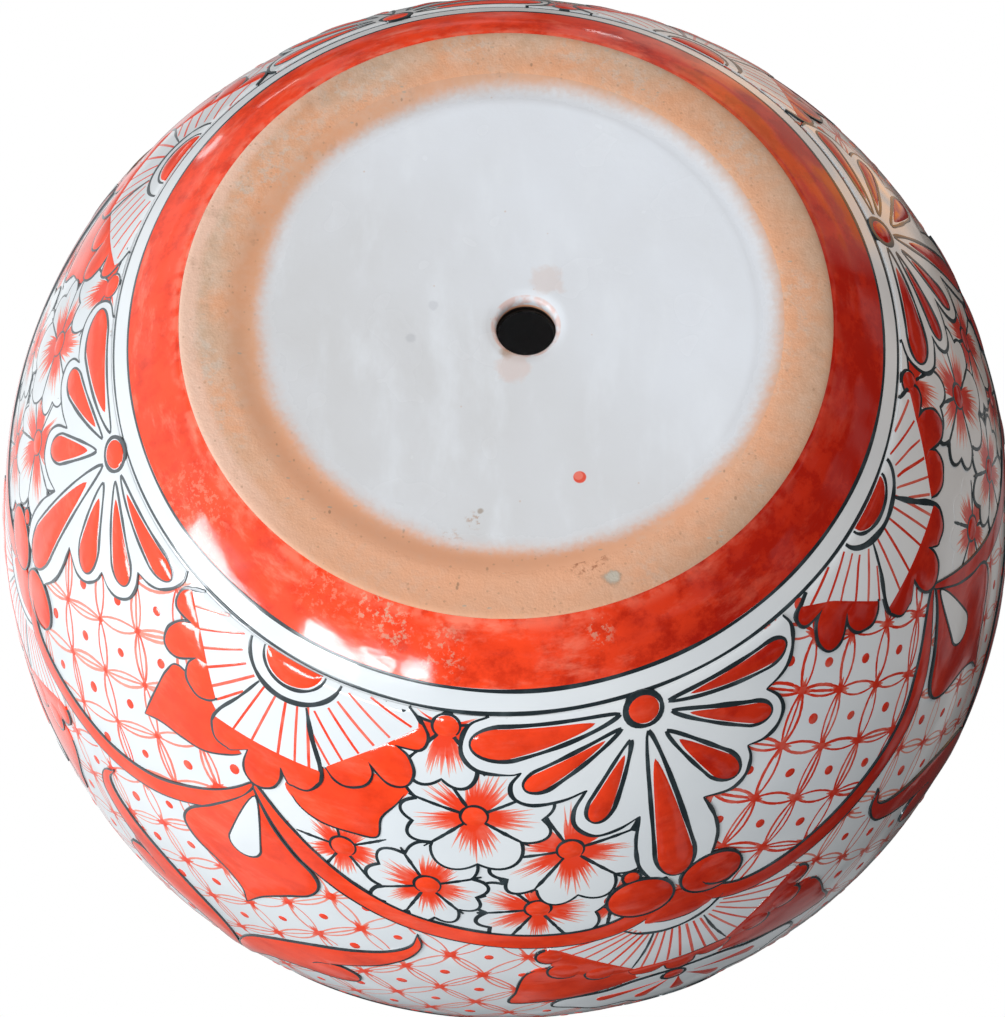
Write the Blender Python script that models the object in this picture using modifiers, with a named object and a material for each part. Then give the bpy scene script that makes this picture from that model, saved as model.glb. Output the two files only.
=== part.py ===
"""A round glazed earthenware planter: one turned clay body and the coats of glaze fired onto it.

Metres, +Z up. The origin is the centre of the foot, on the plane that the planter stands on.
The body is turned from one outline, which runs from the middle of the inner floor, up the
inside, over the lip, down the outside and under the base to its middle. Every coat follows
a stretch of that same outline.
"""
import math

import bpy
from mathutils import Vector

# Clay body
BELLY_RADIUS = 0.189
BELLY_HEIGHT = 0.178
FOOT_RADIUS = 0.1075
SHOULDER_RISE = 0.148
NECK_RADIUS = 0.126
NECK_FILLET = 0.009
COLLAR_RISE = 0.008
LIP_RADIUS = 0.011
WALL = 0.010
FLOOR = 0.008

# Underside: a flat standing ring round a shallow recess, with one drain hole
RING_WIDTH = 0.0155
BASE_RECESS = 0.003
RECESS_RUN = 0.007
DRAIN_RADIUS = 0.0095
DRAIN_FLARE = 0.0008
DRAIN_OFFSET_X = -0.0066
DRAIN_OFFSET_Y = -0.0033

# Coats: widths are measured along the wall
GLAZE = 0.0008
FIT_GAP = 0.0003
FOOT_BAND_WIDTH = 0.0242
LINE_WIDTH = 0.0019
WHITE_BAND_WIDTH = 0.0066

# Fineness of the turned surfaces
TURN_STEPS = 44
BODY_SEGMENTS = 8
SHOULDER_SEGMENTS = 5
FILLET_SEGMENTS = 3
LIP_SEGMENTS = 8
MERGE_DISTANCE = 0.00001

# Worked out from the sizes above
COAT_REACH = GLAZE + FIT_GAP
FLOOR_TOP = BASE_RECESS + FLOOR
FOOT_ANGLE = -math.acos(FOOT_RADIUS / BELLY_RADIUS)
BODY_DROP = BELLY_HEIGHT / math.sin(-FOOT_ANGLE)
LIP_CENTRE_RADIUS = NECK_RADIUS - WALL + LIP_RADIUS
LIP_CREASE = -math.acos((NECK_RADIUS - LIP_CENTRE_RADIUS) / LIP_RADIUS)
CREASE_CLEARANCE = COAT_REACH / math.tan((math.pi + LIP_CREASE) / 2) + FIT_GAP / 2

TERRACOTTA = (0.66, 0.36, 0.22)
WHITE = (0.78, 0.78, 0.77)
RED = (0.66, 0.045, 0.018)
BLACK = (0.018, 0.026, 0.030)


def body_point(angle, half_height):
    """Point (radius, height) of the round body; the angle is 0 at the belly."""
    return Vector((BELLY_RADIUS * math.cos(angle), BELLY_HEIGHT + half_height * math.sin(angle)))


def body_normal(angle, half_height):
    """Outward direction of the round body at the same angle."""
    return Vector((half_height * math.cos(angle), BELLY_RADIUS * math.sin(angle))).normalized()


def inner_point(angle, half_height):
    """Point of the inside surface, one wall in from the round body."""
    return body_point(angle, half_height) - WALL * body_normal(angle, half_height)


def find_zero(function, low, high):
    """Place between low and high at which a function crosses zero, by halving."""
    rises = function(high) > function(low)
    for _ in range(60):
        middle = (low + high) / 2
        if (function(middle) > 0) == rises:
            high = middle
        else:
            low = middle
    return (low + high) / 2


def between(first, last, count):
    """Values from first to last in equal steps, both ends included."""
    return [first + (last - first) * step / count for step in range(count + 1)]


def arc(centre, radius, first, last, count):
    """Points of an arc from one angle to another."""
    return [
        centre + radius * Vector((math.cos(angle), math.sin(angle)))
        for angle in between(first, last, count)
    ]


def clay_outline():
    """Outline of the clay, and the places on it where the coats change."""
    neck_angle = find_zero(
        lambda angle: body_point(angle, SHOULDER_RISE).x - NECK_RADIUS
        - NECK_FILLET * (1 - body_normal(angle, SHOULDER_RISE).x),
        0, math.pi / 2)
    floor_angle = find_zero(
        lambda angle: inner_point(angle, BODY_DROP).y - FLOOR_TOP, FOOT_ANGLE, 0)

    neck_normal = body_normal(neck_angle, SHOULDER_RISE)
    fillet_centre = body_point(neck_angle, SHOULDER_RISE) + NECK_FILLET * neck_normal
    fillet_angle = math.pi + math.atan2(neck_normal.y, neck_normal.x)
    crease_height = fillet_centre.y + COLLAR_RISE
    lip_centre = Vector((LIP_CENTRE_RADIUS, crease_height - LIP_RADIUS * math.sin(LIP_CREASE)))

    inside = [Vector((0, FLOOR_TOP))]
    inside += [inner_point(angle, BODY_DROP) for angle in between(floor_angle, 0, BODY_SEGMENTS)]
    inside += [inner_point(a, SHOULDER_RISE) for a in between(0, neck_angle, SHOULDER_SEGMENTS)[1:]]
    inside += arc(fillet_centre, NECK_FILLET + WALL, fillet_angle, math.pi, FILLET_SEGMENTS)[1:]
    lip = arc(lip_centre, LIP_RADIUS, math.pi, LIP_CREASE, LIP_SEGMENTS)
    outside = arc(fillet_centre, NECK_FILLET, math.pi, fillet_angle, FILLET_SEGMENTS)
    outside += [body_point(a, SHOULDER_RISE) for a in between(neck_angle, 0, SHOULDER_SEGMENTS)[1:]]
    outside += [body_point(a, BODY_DROP) for a in between(0, FOOT_ANGLE, BODY_SEGMENTS)[1:]]
    ring_inner = FOOT_RADIUS - RING_WIDTH
    base = [
        Vector((ring_inner, 0)),
        Vector((ring_inner - RECESS_RUN, BASE_RECESS)),
        Vector((0, BASE_RECESS)),
    ]

    outline = inside + lip + outside + base
    marks = {
        "lip_inner": len(inside),
        "lip_outer": len(inside) + len(lip) - 1,
        "foot": len(inside) + len(lip) + len(outside) - 1,
    }
    run = distances(outline)
    places = {name: run[index] for name, index in marks.items()}
    places["floor_centre"] = 0
    places["base_centre"] = run[-1]
    places["base_edge"] = run[-3] + glazed_slope_start() * (run[-2] - run[-3])
    places["foot_edge"] = places["foot"] - foot_clearance(outline[marks["foot"] - 1])
    return outline, places


def glazed_slope_start():
    """Share of the recess's slope below which a coat would reach the standing plane."""
    return (COAT_REACH + FIT_GAP) / BASE_RECESS


def foot_clearance(point_above):
    """Length of bare wall above the foot that keeps a coat clear of the standing plane."""
    along = (point_above - Vector((FOOT_RADIUS, 0))).normalized()
    return (COAT_REACH * along.x + FIT_GAP) / along.y


def distances(path):
    """Distance of each point along a path."""
    run = [0.0]
    for start, end in zip(path, path[1:]):
        run.append(run[-1] + (end - start).length)
    return run


def stretch(path, first, last):
    """Stretch of a path between two distances along it."""
    run = distances(path)
    inner = [point for point, way in zip(path, run) if first < way < last]
    return [point_at(path, run, first)] + inner + [point_at(path, run, last)]


def point_at(path, run, way):
    """Point of a path at one distance along it."""
    for index in range(len(path) - 1):
        if way <= run[index + 1]:
            share = (way - run[index]) / (run[index + 1] - run[index])
            return path[index].lerp(path[index + 1], share)
    return path[-1]


def raised(path, distance):
    """Path lifted off the clay by one distance, with its corners mitred."""
    sides = []
    for start, end in zip(path, path[1:]):
        along = (end - start).normalized()
        sides.append(Vector((-along.y, along.x)))
    lifted = []
    for point, before, after in zip(path, sides[:1] + sides, sides + sides[-1:]):
        lifted.append(point + distance * (before + after) / (1 + before.dot(after)))
    return lifted


def turned(name, path, collection):
    """Object turned round the axis from a path of (radius, height) points."""
    mesh = bpy.data.meshes.new(name)
    corners = [(point.x, 0, point.y) for point in path]
    mesh.from_pydata(corners, [(i, i + 1) for i in range(len(corners) - 1)], [])
    turned_object = bpy.data.objects.new(name, mesh)
    collection.objects.link(turned_object)
    screw = turned_object.modifiers.new("Turn", "SCREW")
    screw.steps = TURN_STEPS
    screw.render_steps = TURN_STEPS
    screw.use_merge_vertices = True
    screw.merge_threshold = MERGE_DISTANCE
    screw.use_smooth_shade = True
    return turned_object


def finish(name, colour, roughness):
    """Principled material of one colour."""
    material = bpy.data.materials.new(name)
    material.use_nodes = True
    shader = material.node_tree.nodes["Principled BSDF"]
    shader.inputs["Base Color"].default_value = (*colour, 1)
    shader.inputs["Roughness"].default_value = roughness
    shader.inputs["Metallic"].default_value = 0
    return material


def cut_drain(part, cutter):
    """Open the drain hole in one part."""
    cut = part.modifiers.new("Drain hole", "BOOLEAN")
    cut.operation = "DIFFERENCE"
    cut.solver = "EXACT"
    cut.object = cutter


def make_coat(name, outline, first, last, collection, material):
    """Coat of glaze on the clay between two distances along its outline."""
    path = raised(stretch(outline, first, last), FIT_GAP)
    coat = turned(name, path, collection)
    skin = coat.modifiers.new("Coat", "SOLIDIFY")
    skin.thickness = GLAZE
    skin.offset = 1
    skin.use_even_offset = True
    coat.data.materials.append(material)
    return coat


def make_drain_cutter(collection):
    """Turned cutter with flared ends that opens the floor and the coats on it."""
    past_coat = COAT_REACH + FIT_GAP
    end_radius = DRAIN_RADIUS + DRAIN_FLARE + past_coat
    path = [
        Vector((0, FLOOR_TOP + past_coat)),
        Vector((end_radius, FLOOR_TOP + past_coat)),
        Vector((DRAIN_RADIUS, FLOOR_TOP - DRAIN_FLARE)),
        Vector((DRAIN_RADIUS, BASE_RECESS + DRAIN_FLARE)),
        Vector((end_radius, BASE_RECESS - past_coat)),
        Vector((0, BASE_RECESS - past_coat)),
    ]
    cutter = turned("drain_cutter", path, collection)
    cutter.location = (DRAIN_OFFSET_X, DRAIN_OFFSET_Y, 0)
    cutter.hide_render = True
    cutter.display_type = "WIRE"
    return cutter


def make_collection(name):
    """New collection in the scene."""
    collection = bpy.data.collections.new(name)
    bpy.context.scene.collection.children.link(collection)
    return collection


def main():
    for old in list(bpy.data.objects):
        bpy.data.objects.remove(old, do_unlink=True)
    parts = make_collection("ceramic_planter_vase")
    cutters = make_collection("cutters")
    stand = bpy.data.objects.new("planter_origin", None)
    parts.objects.link(stand)

    terracotta = finish("raw terracotta", TERRACOTTA, 0.85)
    white = finish("white glaze", WHITE, 0.15)
    red = finish("red glaze", RED, 0.15)
    black = finish("black enamel", BLACK, 0.2)

    outline, places = clay_outline()
    clay = turned("clay_body", outline, parts)
    clay.data.materials.append(terracotta)

    foot_band_top = places["foot"] - FOOT_BAND_WIDTH
    lower_line_top = foot_band_top - LINE_WIDTH
    white_band_top = lower_line_top - WHITE_BAND_WIDTH
    upper_line_top = white_band_top - LINE_WIDTH
    lip_band_end = places["lip_outer"] - CREASE_CLEARANCE
    lip_line_top = places["lip_outer"] + CREASE_CLEARANCE
    lip_line_bottom = lip_line_top + LINE_WIDTH
    half_gap = FIT_GAP / 2
    coats = [
        ("inside_glaze", places["floor_centre"], places["lip_inner"] - half_gap, white),
        ("lip_band_glaze", places["lip_inner"] + half_gap, lip_band_end, red),
        ("lip_line_enamel", lip_line_top, lip_line_bottom - half_gap, black),
        ("body_glaze", lip_line_bottom + half_gap, upper_line_top - half_gap, white),
        ("upper_line_enamel", upper_line_top + half_gap, white_band_top - half_gap, black),
        ("white_band_glaze", white_band_top + half_gap, lower_line_top - half_gap, white),
        ("lower_line_enamel", lower_line_top + half_gap, foot_band_top - half_gap, black),
        ("foot_band_glaze", foot_band_top + half_gap, places["foot_edge"], red),
        ("base_glaze", places["base_edge"], places["base_centre"], white),
    ]
    made = {
        name: make_coat(name, outline, first, last, parts, material)
        for name, first, last, material in coats
    }

    cutter = make_drain_cutter(cutters)
    for part in (clay, made["inside_glaze"], made["base_glaze"]):
        cut_drain(part, cutter)
    for part in (clay, *made.values()):
        part.parent = stand


main()
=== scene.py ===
"""Looks of a round glazed earthenware planter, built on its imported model.

Every piece is drawn on one surface. A point of that surface is an angle round the axis and a
distance along the pot's outline, counted from the edge of the foot. The enamel ornament is
drawn on it in millimetres, as brush strokes and filled shapes with a little body of their own.
"""
import logging
import math
from dataclasses import dataclass, field
from enum import Enum
from functools import cached_property
from typing import Callable, Sequence

import bmesh
import bpy
import numpy as np
from mathutils import Matrix, Vector
from mathutils.geometry import delaunay_2d_cdt


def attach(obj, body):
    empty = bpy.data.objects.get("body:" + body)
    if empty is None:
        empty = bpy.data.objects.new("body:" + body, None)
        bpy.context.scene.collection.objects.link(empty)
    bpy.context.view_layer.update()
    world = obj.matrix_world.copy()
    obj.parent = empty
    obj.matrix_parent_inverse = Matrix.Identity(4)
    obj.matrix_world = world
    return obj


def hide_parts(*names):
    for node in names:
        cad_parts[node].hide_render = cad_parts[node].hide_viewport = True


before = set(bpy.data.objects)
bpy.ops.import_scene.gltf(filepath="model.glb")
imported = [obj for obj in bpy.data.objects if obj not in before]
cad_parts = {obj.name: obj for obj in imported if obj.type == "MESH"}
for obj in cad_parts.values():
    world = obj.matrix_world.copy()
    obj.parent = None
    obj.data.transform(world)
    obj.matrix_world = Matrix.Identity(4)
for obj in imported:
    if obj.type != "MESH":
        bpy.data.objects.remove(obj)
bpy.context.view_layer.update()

LOG = logging.getLogger("planter")
MM = 0.001
SEED = 7
HALVINGS = 60
Array = np.ndarray
Pair = tuple[float, float]
Curve = tuple[Pair, ...]
Spot = tuple[float, float, float]
Colour = tuple[float, float, float]
OverSurface = Callable[[Array, Array], Array]


class Slot(Enum):
    """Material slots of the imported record."""

    TERRACOTTA = "terracotta"
    WHITE = "white_glaze"
    RED = "red_glaze"
    BLACK = "black_enamel"


# Curves


def find_zero(function: Callable[[float], float], low: float, high: float) -> float:
    """Place between two values at which a function crosses zero.

    Args:
        function: function of one value.
        low: one end of the search.
        high: the other end.

    Returns:
        The place, found by halving.
    """
    rises = function(high) > function(low)
    for _ in range(HALVINGS):
        middle = (low + high) / 2
        if (function(middle) > 0) == rises:
            high = middle
        else:
            low = middle
    return (low + high) / 2


def smooth(points: Sequence[Pair], spacing: float = 2.0, closed: bool = False) -> Array:
    """Smooth curve through a few points.

    Args:
        points: points in millimetres.
        spacing: rough distance between the points returned.
        closed: whether the curve runs back to its start.

    Returns:
        Points of the curve, one row each; a closed curve doesn't repeat its start.
    """
    knots = np.asarray(points, float)
    if closed:
        knots = np.vstack((knots[-1], knots, knots[:2]))
    else:
        first, last = 2 * knots[0] - knots[1], 2 * knots[-1] - knots[-2]
        knots = np.vstack((first, knots, last))
    runs = []
    for before, start, end, after in zip(knots, knots[1:], knots[2:], knots[3:]):
        count = max(2, round(np.linalg.norm(end - start) / spacing))
        t = np.arange(count)[:, None] / count
        leave, arrive = (end - before) / 2, (after - start) / 2
        runs.append(
            (2 * t**3 - 3 * t**2 + 1) * start + (t**3 - 2 * t**2 + t) * leave
            + (3 * t**2 - 2 * t**3) * end + (t**3 - t**2) * arrive)
    if not closed:
        runs.append(knots[-2:-1])
    return np.vstack(runs)


def chain(*curves: Array) -> Array:
    """Curves joined end to end, with shared ends kept once.

    Args:
        curves: curves in order.

    Returns:
        Points of the whole curve.
    """
    rows = [curves[0]]
    for curve in curves[1:]:
        rows.append(curve[1:] if np.allclose(curve[0], rows[-1][-1]) else curve)
    return np.vstack(rows)


def ellipse(centre: Pair, wide: float, tall: float, first: float = 0.0, last: float = 360.0,
            count: int = 28) -> Array:
    """Points of an ellipse or of an arc of one.

    Args:
        centre: middle, in millimetres.
        wide: half of the width.
        tall: half of the height.
        first: angle in degrees at which the arc starts.
        last: angle at which it ends; a full turn leaves out the repeated point.
        count: number of steps.

    Returns:
        Points of the curve.
    """
    whole = abs(last - first) >= 360
    angle = np.radians(np.linspace(first, last, count + 1))[: count if whole else None]
    return np.column_stack((centre[0] + wide * np.cos(angle), centre[1] + tall * np.sin(angle)))


def teardrop(tip: Pair, end: Pair, radius: float, waist: float = 1.3, nose: float = 1.0,
             count: int = 12) -> Array:
    """Outline of a petal with a point at its tip and a round end.

    Args:
        tip: pointed end, in millimetres.
        end: furthest point of the round end.
        radius: half of the greatest width.
        waist: how slowly the petal widens from its tip.
        nose: length of the round end as a share of the radius.
        count: points along each side.

    Returns:
        Closed outline.
    """
    tip, end = np.asarray(tip, float), np.asarray(end, float)
    length = np.linalg.norm(end - tip)
    along = (end - tip) / length
    aside = np.array((-along[1], along[0]))
    belly = length - radius * nose
    t = np.linspace(0.04, 1, count)
    sides = np.column_stack((belly * t, radius * t**waist))
    turn = np.linspace(90, -90, count)[1:-1]
    cap = np.column_stack((belly + nose * radius * np.cos(np.radians(turn)),
                           radius * np.sin(np.radians(turn))))
    back = (sides * (1, -1))[::-1]
    flat = np.vstack(((0, 0), sides, cap, back))
    return tip + flat[:, :1] * along + flat[:, 1:] * aside


def divided(outline: Array, step: float) -> Array:
    """Closed outline whose sides are cut so that none is longer than a step.

    Args:
        outline: corners of the outline.
        step: greatest length of a side.

    Returns:
        Corners of the finer outline.
    """
    rows = []
    for start, end in zip(outline, np.roll(outline, -1, axis=0)):
        count = max(1, math.ceil(np.linalg.norm(end - start) / step))
        rows.append(start + (end - start) * np.arange(count)[:, None] / count)
    return np.vstack(rows)


def edge_distance(points: Array, outline: Array) -> Array:
    """Distance of each point from the nearest side of a closed outline.

    Args:
        points: points to measure from.
        outline: corners of the outline.

    Returns:
        One distance for each point.
    """
    start, end = outline, np.roll(outline, -1, axis=0)
    side = end - start
    offset = points[:, None] - start[None]
    share = (offset * side).sum(-1) / np.maximum((side * side).sum(-1), 1e-12)
    nearest = offset - np.clip(share, 0, 1)[..., None] * side
    return np.sqrt((nearest**2).sum(-1)).min(1)


def is_inside(points: Array, outline: Array) -> Array:
    """Whether each point lies inside a closed outline.

    Args:
        points: points to test.
        outline: corners of the outline.

    Returns:
        One answer for each point.
    """
    start, end = outline, np.roll(outline, -1, axis=0)
    x, y = points[:, :1], points[:, 1:]
    spans = (start[:, 1] > y) != (end[:, 1] > y)
    rise = np.where(end[:, 1] == start[:, 1], 1e-12, end[:, 1] - start[:, 1])
    crossing = start[:, 0] + (y - start[:, 1]) * (end[:, 0] - start[:, 0]) / rise
    return (spans & (x < crossing)).sum(1) % 2 == 1


def ease(share: Array) -> Array:
    """Shares from 0 to 1, slowed down at both ends."""
    return share * share * (3 - 2 * share)


# The pot's surface


@dataclass(frozen=True)
class PotSizes:
    """Sizes of the turned clay, in metres."""

    belly_radius: float = 0.189
    belly_height: float = 0.178
    foot_radius: float = 0.1075
    shoulder_rise: float = 0.148
    neck_radius: float = 0.126
    neck_fillet: float = 0.009
    collar_rise: float = 0.008
    lip_radius: float = 0.011
    wall: float = 0.010
    floor: float = 0.008
    ring_width: float = 0.0155
    base_recess: float = 0.003
    recess_run: float = 0.007
    recess_ease: float = 0.0025
    drain_radius: float = 0.0100
    drain_flare: float = 0.0008
    drain_centre: Pair = (-0.0066, -0.0036)


class PotSurface:
    """The pot's skin: one closed outline turned round the axis.

    The outline runs from the drain hole along the base, up the outside, over the lip, down the
    inside and along the floor back to the hole. Places on it are counted from the foot's edge.
    """

    SAMPLE = 0.00025
    LINE_STEPS = 200
    ARC_STEPS = 240
    BLUR_STEPS = 16
    SOFTENING = 0.0008
    HOLE_REACH = 0.05
    SWELLS = ((2, 0.6, 0.0005), (3, 2.0, 0.0003), (5, 4.1, 0.00012))

    def __init__(self, sizes: PotSizes) -> None:
        """Sample the outline.

        Args:
            sizes: sizes of the turned clay.
        """
        self.sizes = sizes
        stretches = self._stretches()
        rough = np.vstack([points for _, points in stretches] + [stretches[0][1][:1]])
        way = np.concatenate(([0], np.cumsum(np.linalg.norm(np.diff(rough, axis=0), axis=1))))
        starts = np.cumsum([0] + [len(points) for _, points in stretches])
        self.marks = {name: way[index] for (name, _), index in zip(stretches, starts)}
        foot = self.marks["foot"]
        self.marks = {name: value - foot for name, value in self.marks.items()}
        count = round(way[-1] / self.SAMPLE)
        even = np.linspace(0, way[-1], count, endpoint=False)
        self.way = even - foot
        reach = np.arange(-self.BLUR_STEPS, self.BLUR_STEPS + 1) * self.SAMPLE
        weights = np.exp(-0.5 * (reach / self.SOFTENING) ** 2)
        weights /= weights.sum()
        soft = [self._blur(np.interp(even, way, rough[:, axis]), weights) for axis in (0, 1)]
        self.rho, self.height = soft
        along = np.column_stack([np.roll(axis, -1) - np.roll(axis, 1) for axis in soft])
        along /= np.linalg.norm(along, axis=1)[:, None]
        self.normal_rho, self.normal_height = along[:, 1], -along[:, 0]

    @staticmethod
    def _blur(values: Array, weights: Array) -> Array:
        """Values of a closed loop, softened by a row of weights."""
        half = len(weights) // 2
        return np.convolve(np.concatenate((values[-half:], values, values[:half])), weights, "valid")

    def _stretches(self) -> list[tuple[str, Array]]:
        """Stretches of the outline in order.

        Returns:
            The name of each and its (radius, height) points, without its end.
        """
        z = self.sizes
        foot_angle = -math.acos(z.foot_radius / z.belly_radius)
        drop = z.belly_height / math.sin(-foot_angle)

        def body(angle: Array, half_height: float, inset: float = 0.0) -> Array:
            """Points of the round body, moved in by an inset."""
            angle = np.atleast_1d(angle)
            point = np.column_stack((z.belly_radius * np.cos(angle),
                                     z.belly_height + half_height * np.sin(angle)))
            out = np.column_stack((half_height * np.cos(angle), z.belly_radius * np.sin(angle)))
            return point - inset * out / np.linalg.norm(out, axis=1)[:, None]

        def line(start: Pair, end: Pair) -> Array:
            """Points of a straight stretch."""
            share = np.arange(self.LINE_STEPS)[:, None] / self.LINE_STEPS
            return np.asarray(start) + share * (np.asarray(end) - np.asarray(start))

        def eased(radius: Array, end: float) -> Array:
            """Points of the recess's slope, rounded where it meets the base and the ring."""
            reach = z.recess_ease / z.recess_run
            share = (radius - end) / z.recess_run + 1
            low, high = (np.where(t < 1, np.maximum(t, 0) ** 2 / 2, t - 0.5)
                         for t in (share - reach, share + reach))
            return np.column_stack((radius, z.base_recess * (1 - (high - low) / (2 * reach))))

        def sweep(first: float, last: float) -> Array:
            """Angles from first up to, but not including, last."""
            return np.linspace(first, last, self.ARC_STEPS, endpoint=False)

        def ring(centre: Pair, radius: float, first: float, last: float) -> Array:
            """Points of a round stretch."""
            angle = sweep(first, last)
            return np.asarray(centre) + radius * np.column_stack((np.cos(angle), np.sin(angle)))

        def neck_error(angle: float) -> float:
            """How far the collar would stand outside its radius."""
            point, inset = body(angle, z.shoulder_rise)[0], body(angle, z.shoulder_rise, 1.0)[0]
            return point[0] - z.neck_fillet * (1 - (point - inset)[0]) - z.neck_radius

        neck_angle = find_zero(neck_error, 0, math.pi / 2)
        floor_top = z.base_recess + z.floor
        floor_angle = find_zero(lambda a: body(a, drop, z.wall)[0, 1] - floor_top, foot_angle, 0)
        neck = body(neck_angle, z.shoulder_rise)[0]
        neck_out = neck - body(neck_angle, z.shoulder_rise, 1.0)[0]
        fillet_centre = neck + z.neck_fillet * neck_out
        fillet_angle = math.pi + math.atan2(neck_out[1], neck_out[0])
        lip_middle = z.neck_radius - z.wall + z.lip_radius
        crease_angle = -math.acos((z.neck_radius - lip_middle) / z.lip_radius)
        crease = (z.neck_radius, fillet_centre[1] + z.collar_rise)
        lip_centre = (lip_middle, crease[1] - z.lip_radius * math.sin(crease_angle))
        lip_inner = (z.neck_radius - z.wall, lip_centre[1])
        ring_inner = z.foot_radius - z.ring_width
        slope_start, slope_end = ring_inner - z.recess_run - z.recess_ease, ring_inner + z.recess_ease
        flare_radius = z.drain_radius + z.drain_flare
        hole_middle = (z.drain_radius, z.base_recess + z.floor / 2)
        floor_edge = body(floor_angle, drop, z.wall)[0]
        base_flare = (z.drain_radius, z.base_recess + z.drain_flare)
        floor_flare = (z.drain_radius, floor_top - z.drain_flare)
        return [
            ("hole", line(hole_middle, base_flare)),
            ("base_flare", line(base_flare, (flare_radius, z.base_recess))),
            ("base", line((flare_radius, z.base_recess), (slope_start, z.base_recess))),
            ("slope", eased(line((slope_start, 0), (slope_end, 0))[:, 0], ring_inner)),
            ("ring", line((slope_end, 0), (z.foot_radius, 0))),
            ("foot", body(sweep(foot_angle, 0), drop)),
            ("belly", body(sweep(0, neck_angle), z.shoulder_rise)),
            ("neck", ring(fillet_centre, z.neck_fillet, fillet_angle, math.pi)),
            ("collar", line((z.neck_radius, fillet_centre[1]), crease)),
            ("crease", ring(lip_centre, z.lip_radius, crease_angle, math.pi)),
            ("lip_inner", line(lip_inner, (lip_inner[0], fillet_centre[1]))),
            ("inner_neck", ring(fillet_centre, z.neck_fillet + z.wall, math.pi, fillet_angle)),
            ("inner_shoulder", body(sweep(neck_angle, 0), z.shoulder_rise, z.wall)),
            ("inner_belly", body(sweep(0, floor_angle), drop, z.wall)),
            ("floor", line(floor_edge, (flare_radius, floor_top))),
            ("floor_flare", line((flare_radius, floor_top), floor_flare)),
            ("floor_hole", line(floor_flare, hole_middle)),
        ]

    def radius(self, way: Array | float) -> Array:
        """Radius of the clay at distances along the outline."""
        return np.interp(way, self.way, self.rho)

    def points(self, theta: Array, way: Array, lift: Array | float) -> Array:
        """Places in space.

        Args:
            theta: angles round the axis, 0 at -Y and growing towards -X.
            way: distances along the outline from the foot's edge.
            lift: heights above the clay.

        Returns:
            One row of X, Y and Z for each point.
        """
        height = np.interp(way, self.way, self.height)
        height = height + lift * np.interp(way, self.way, self.normal_height)
        rho = self.radius(way) + lift * np.interp(way, self.way, self.normal_rho)
        swell = sum(size * np.sin(turns * theta + phase) for turns, phase, size in self.SWELLS)
        rho = rho + swell * ease(np.clip(height / self.sizes.belly_height, 0, 1))
        near = ease(np.clip(1 - (rho - self.sizes.drain_radius) / self.HOLE_REACH, 0, 1))
        x = -rho * np.sin(theta) + self.sizes.drain_centre[0] * near
        y = -rho * np.cos(theta) + self.sizes.drain_centre[1] * near
        return np.column_stack((x, y, height))


# Meshes


class Section(Enum):
    """Cross sections of a stroke, as shares of half its width and of its height."""

    BEAD = ((-1, 0), (-0.86, 0.55), (0, 1), (0.86, 0.55), (1, 0))
    RIBBON = ((-1, 0), (-0.96, 0.7), (-0.84, 1), (0.84, 1), (0.96, 0.7), (1, 0))
    FINE = ((-1, -0.25), (0, 1), (1, -0.25))


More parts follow.
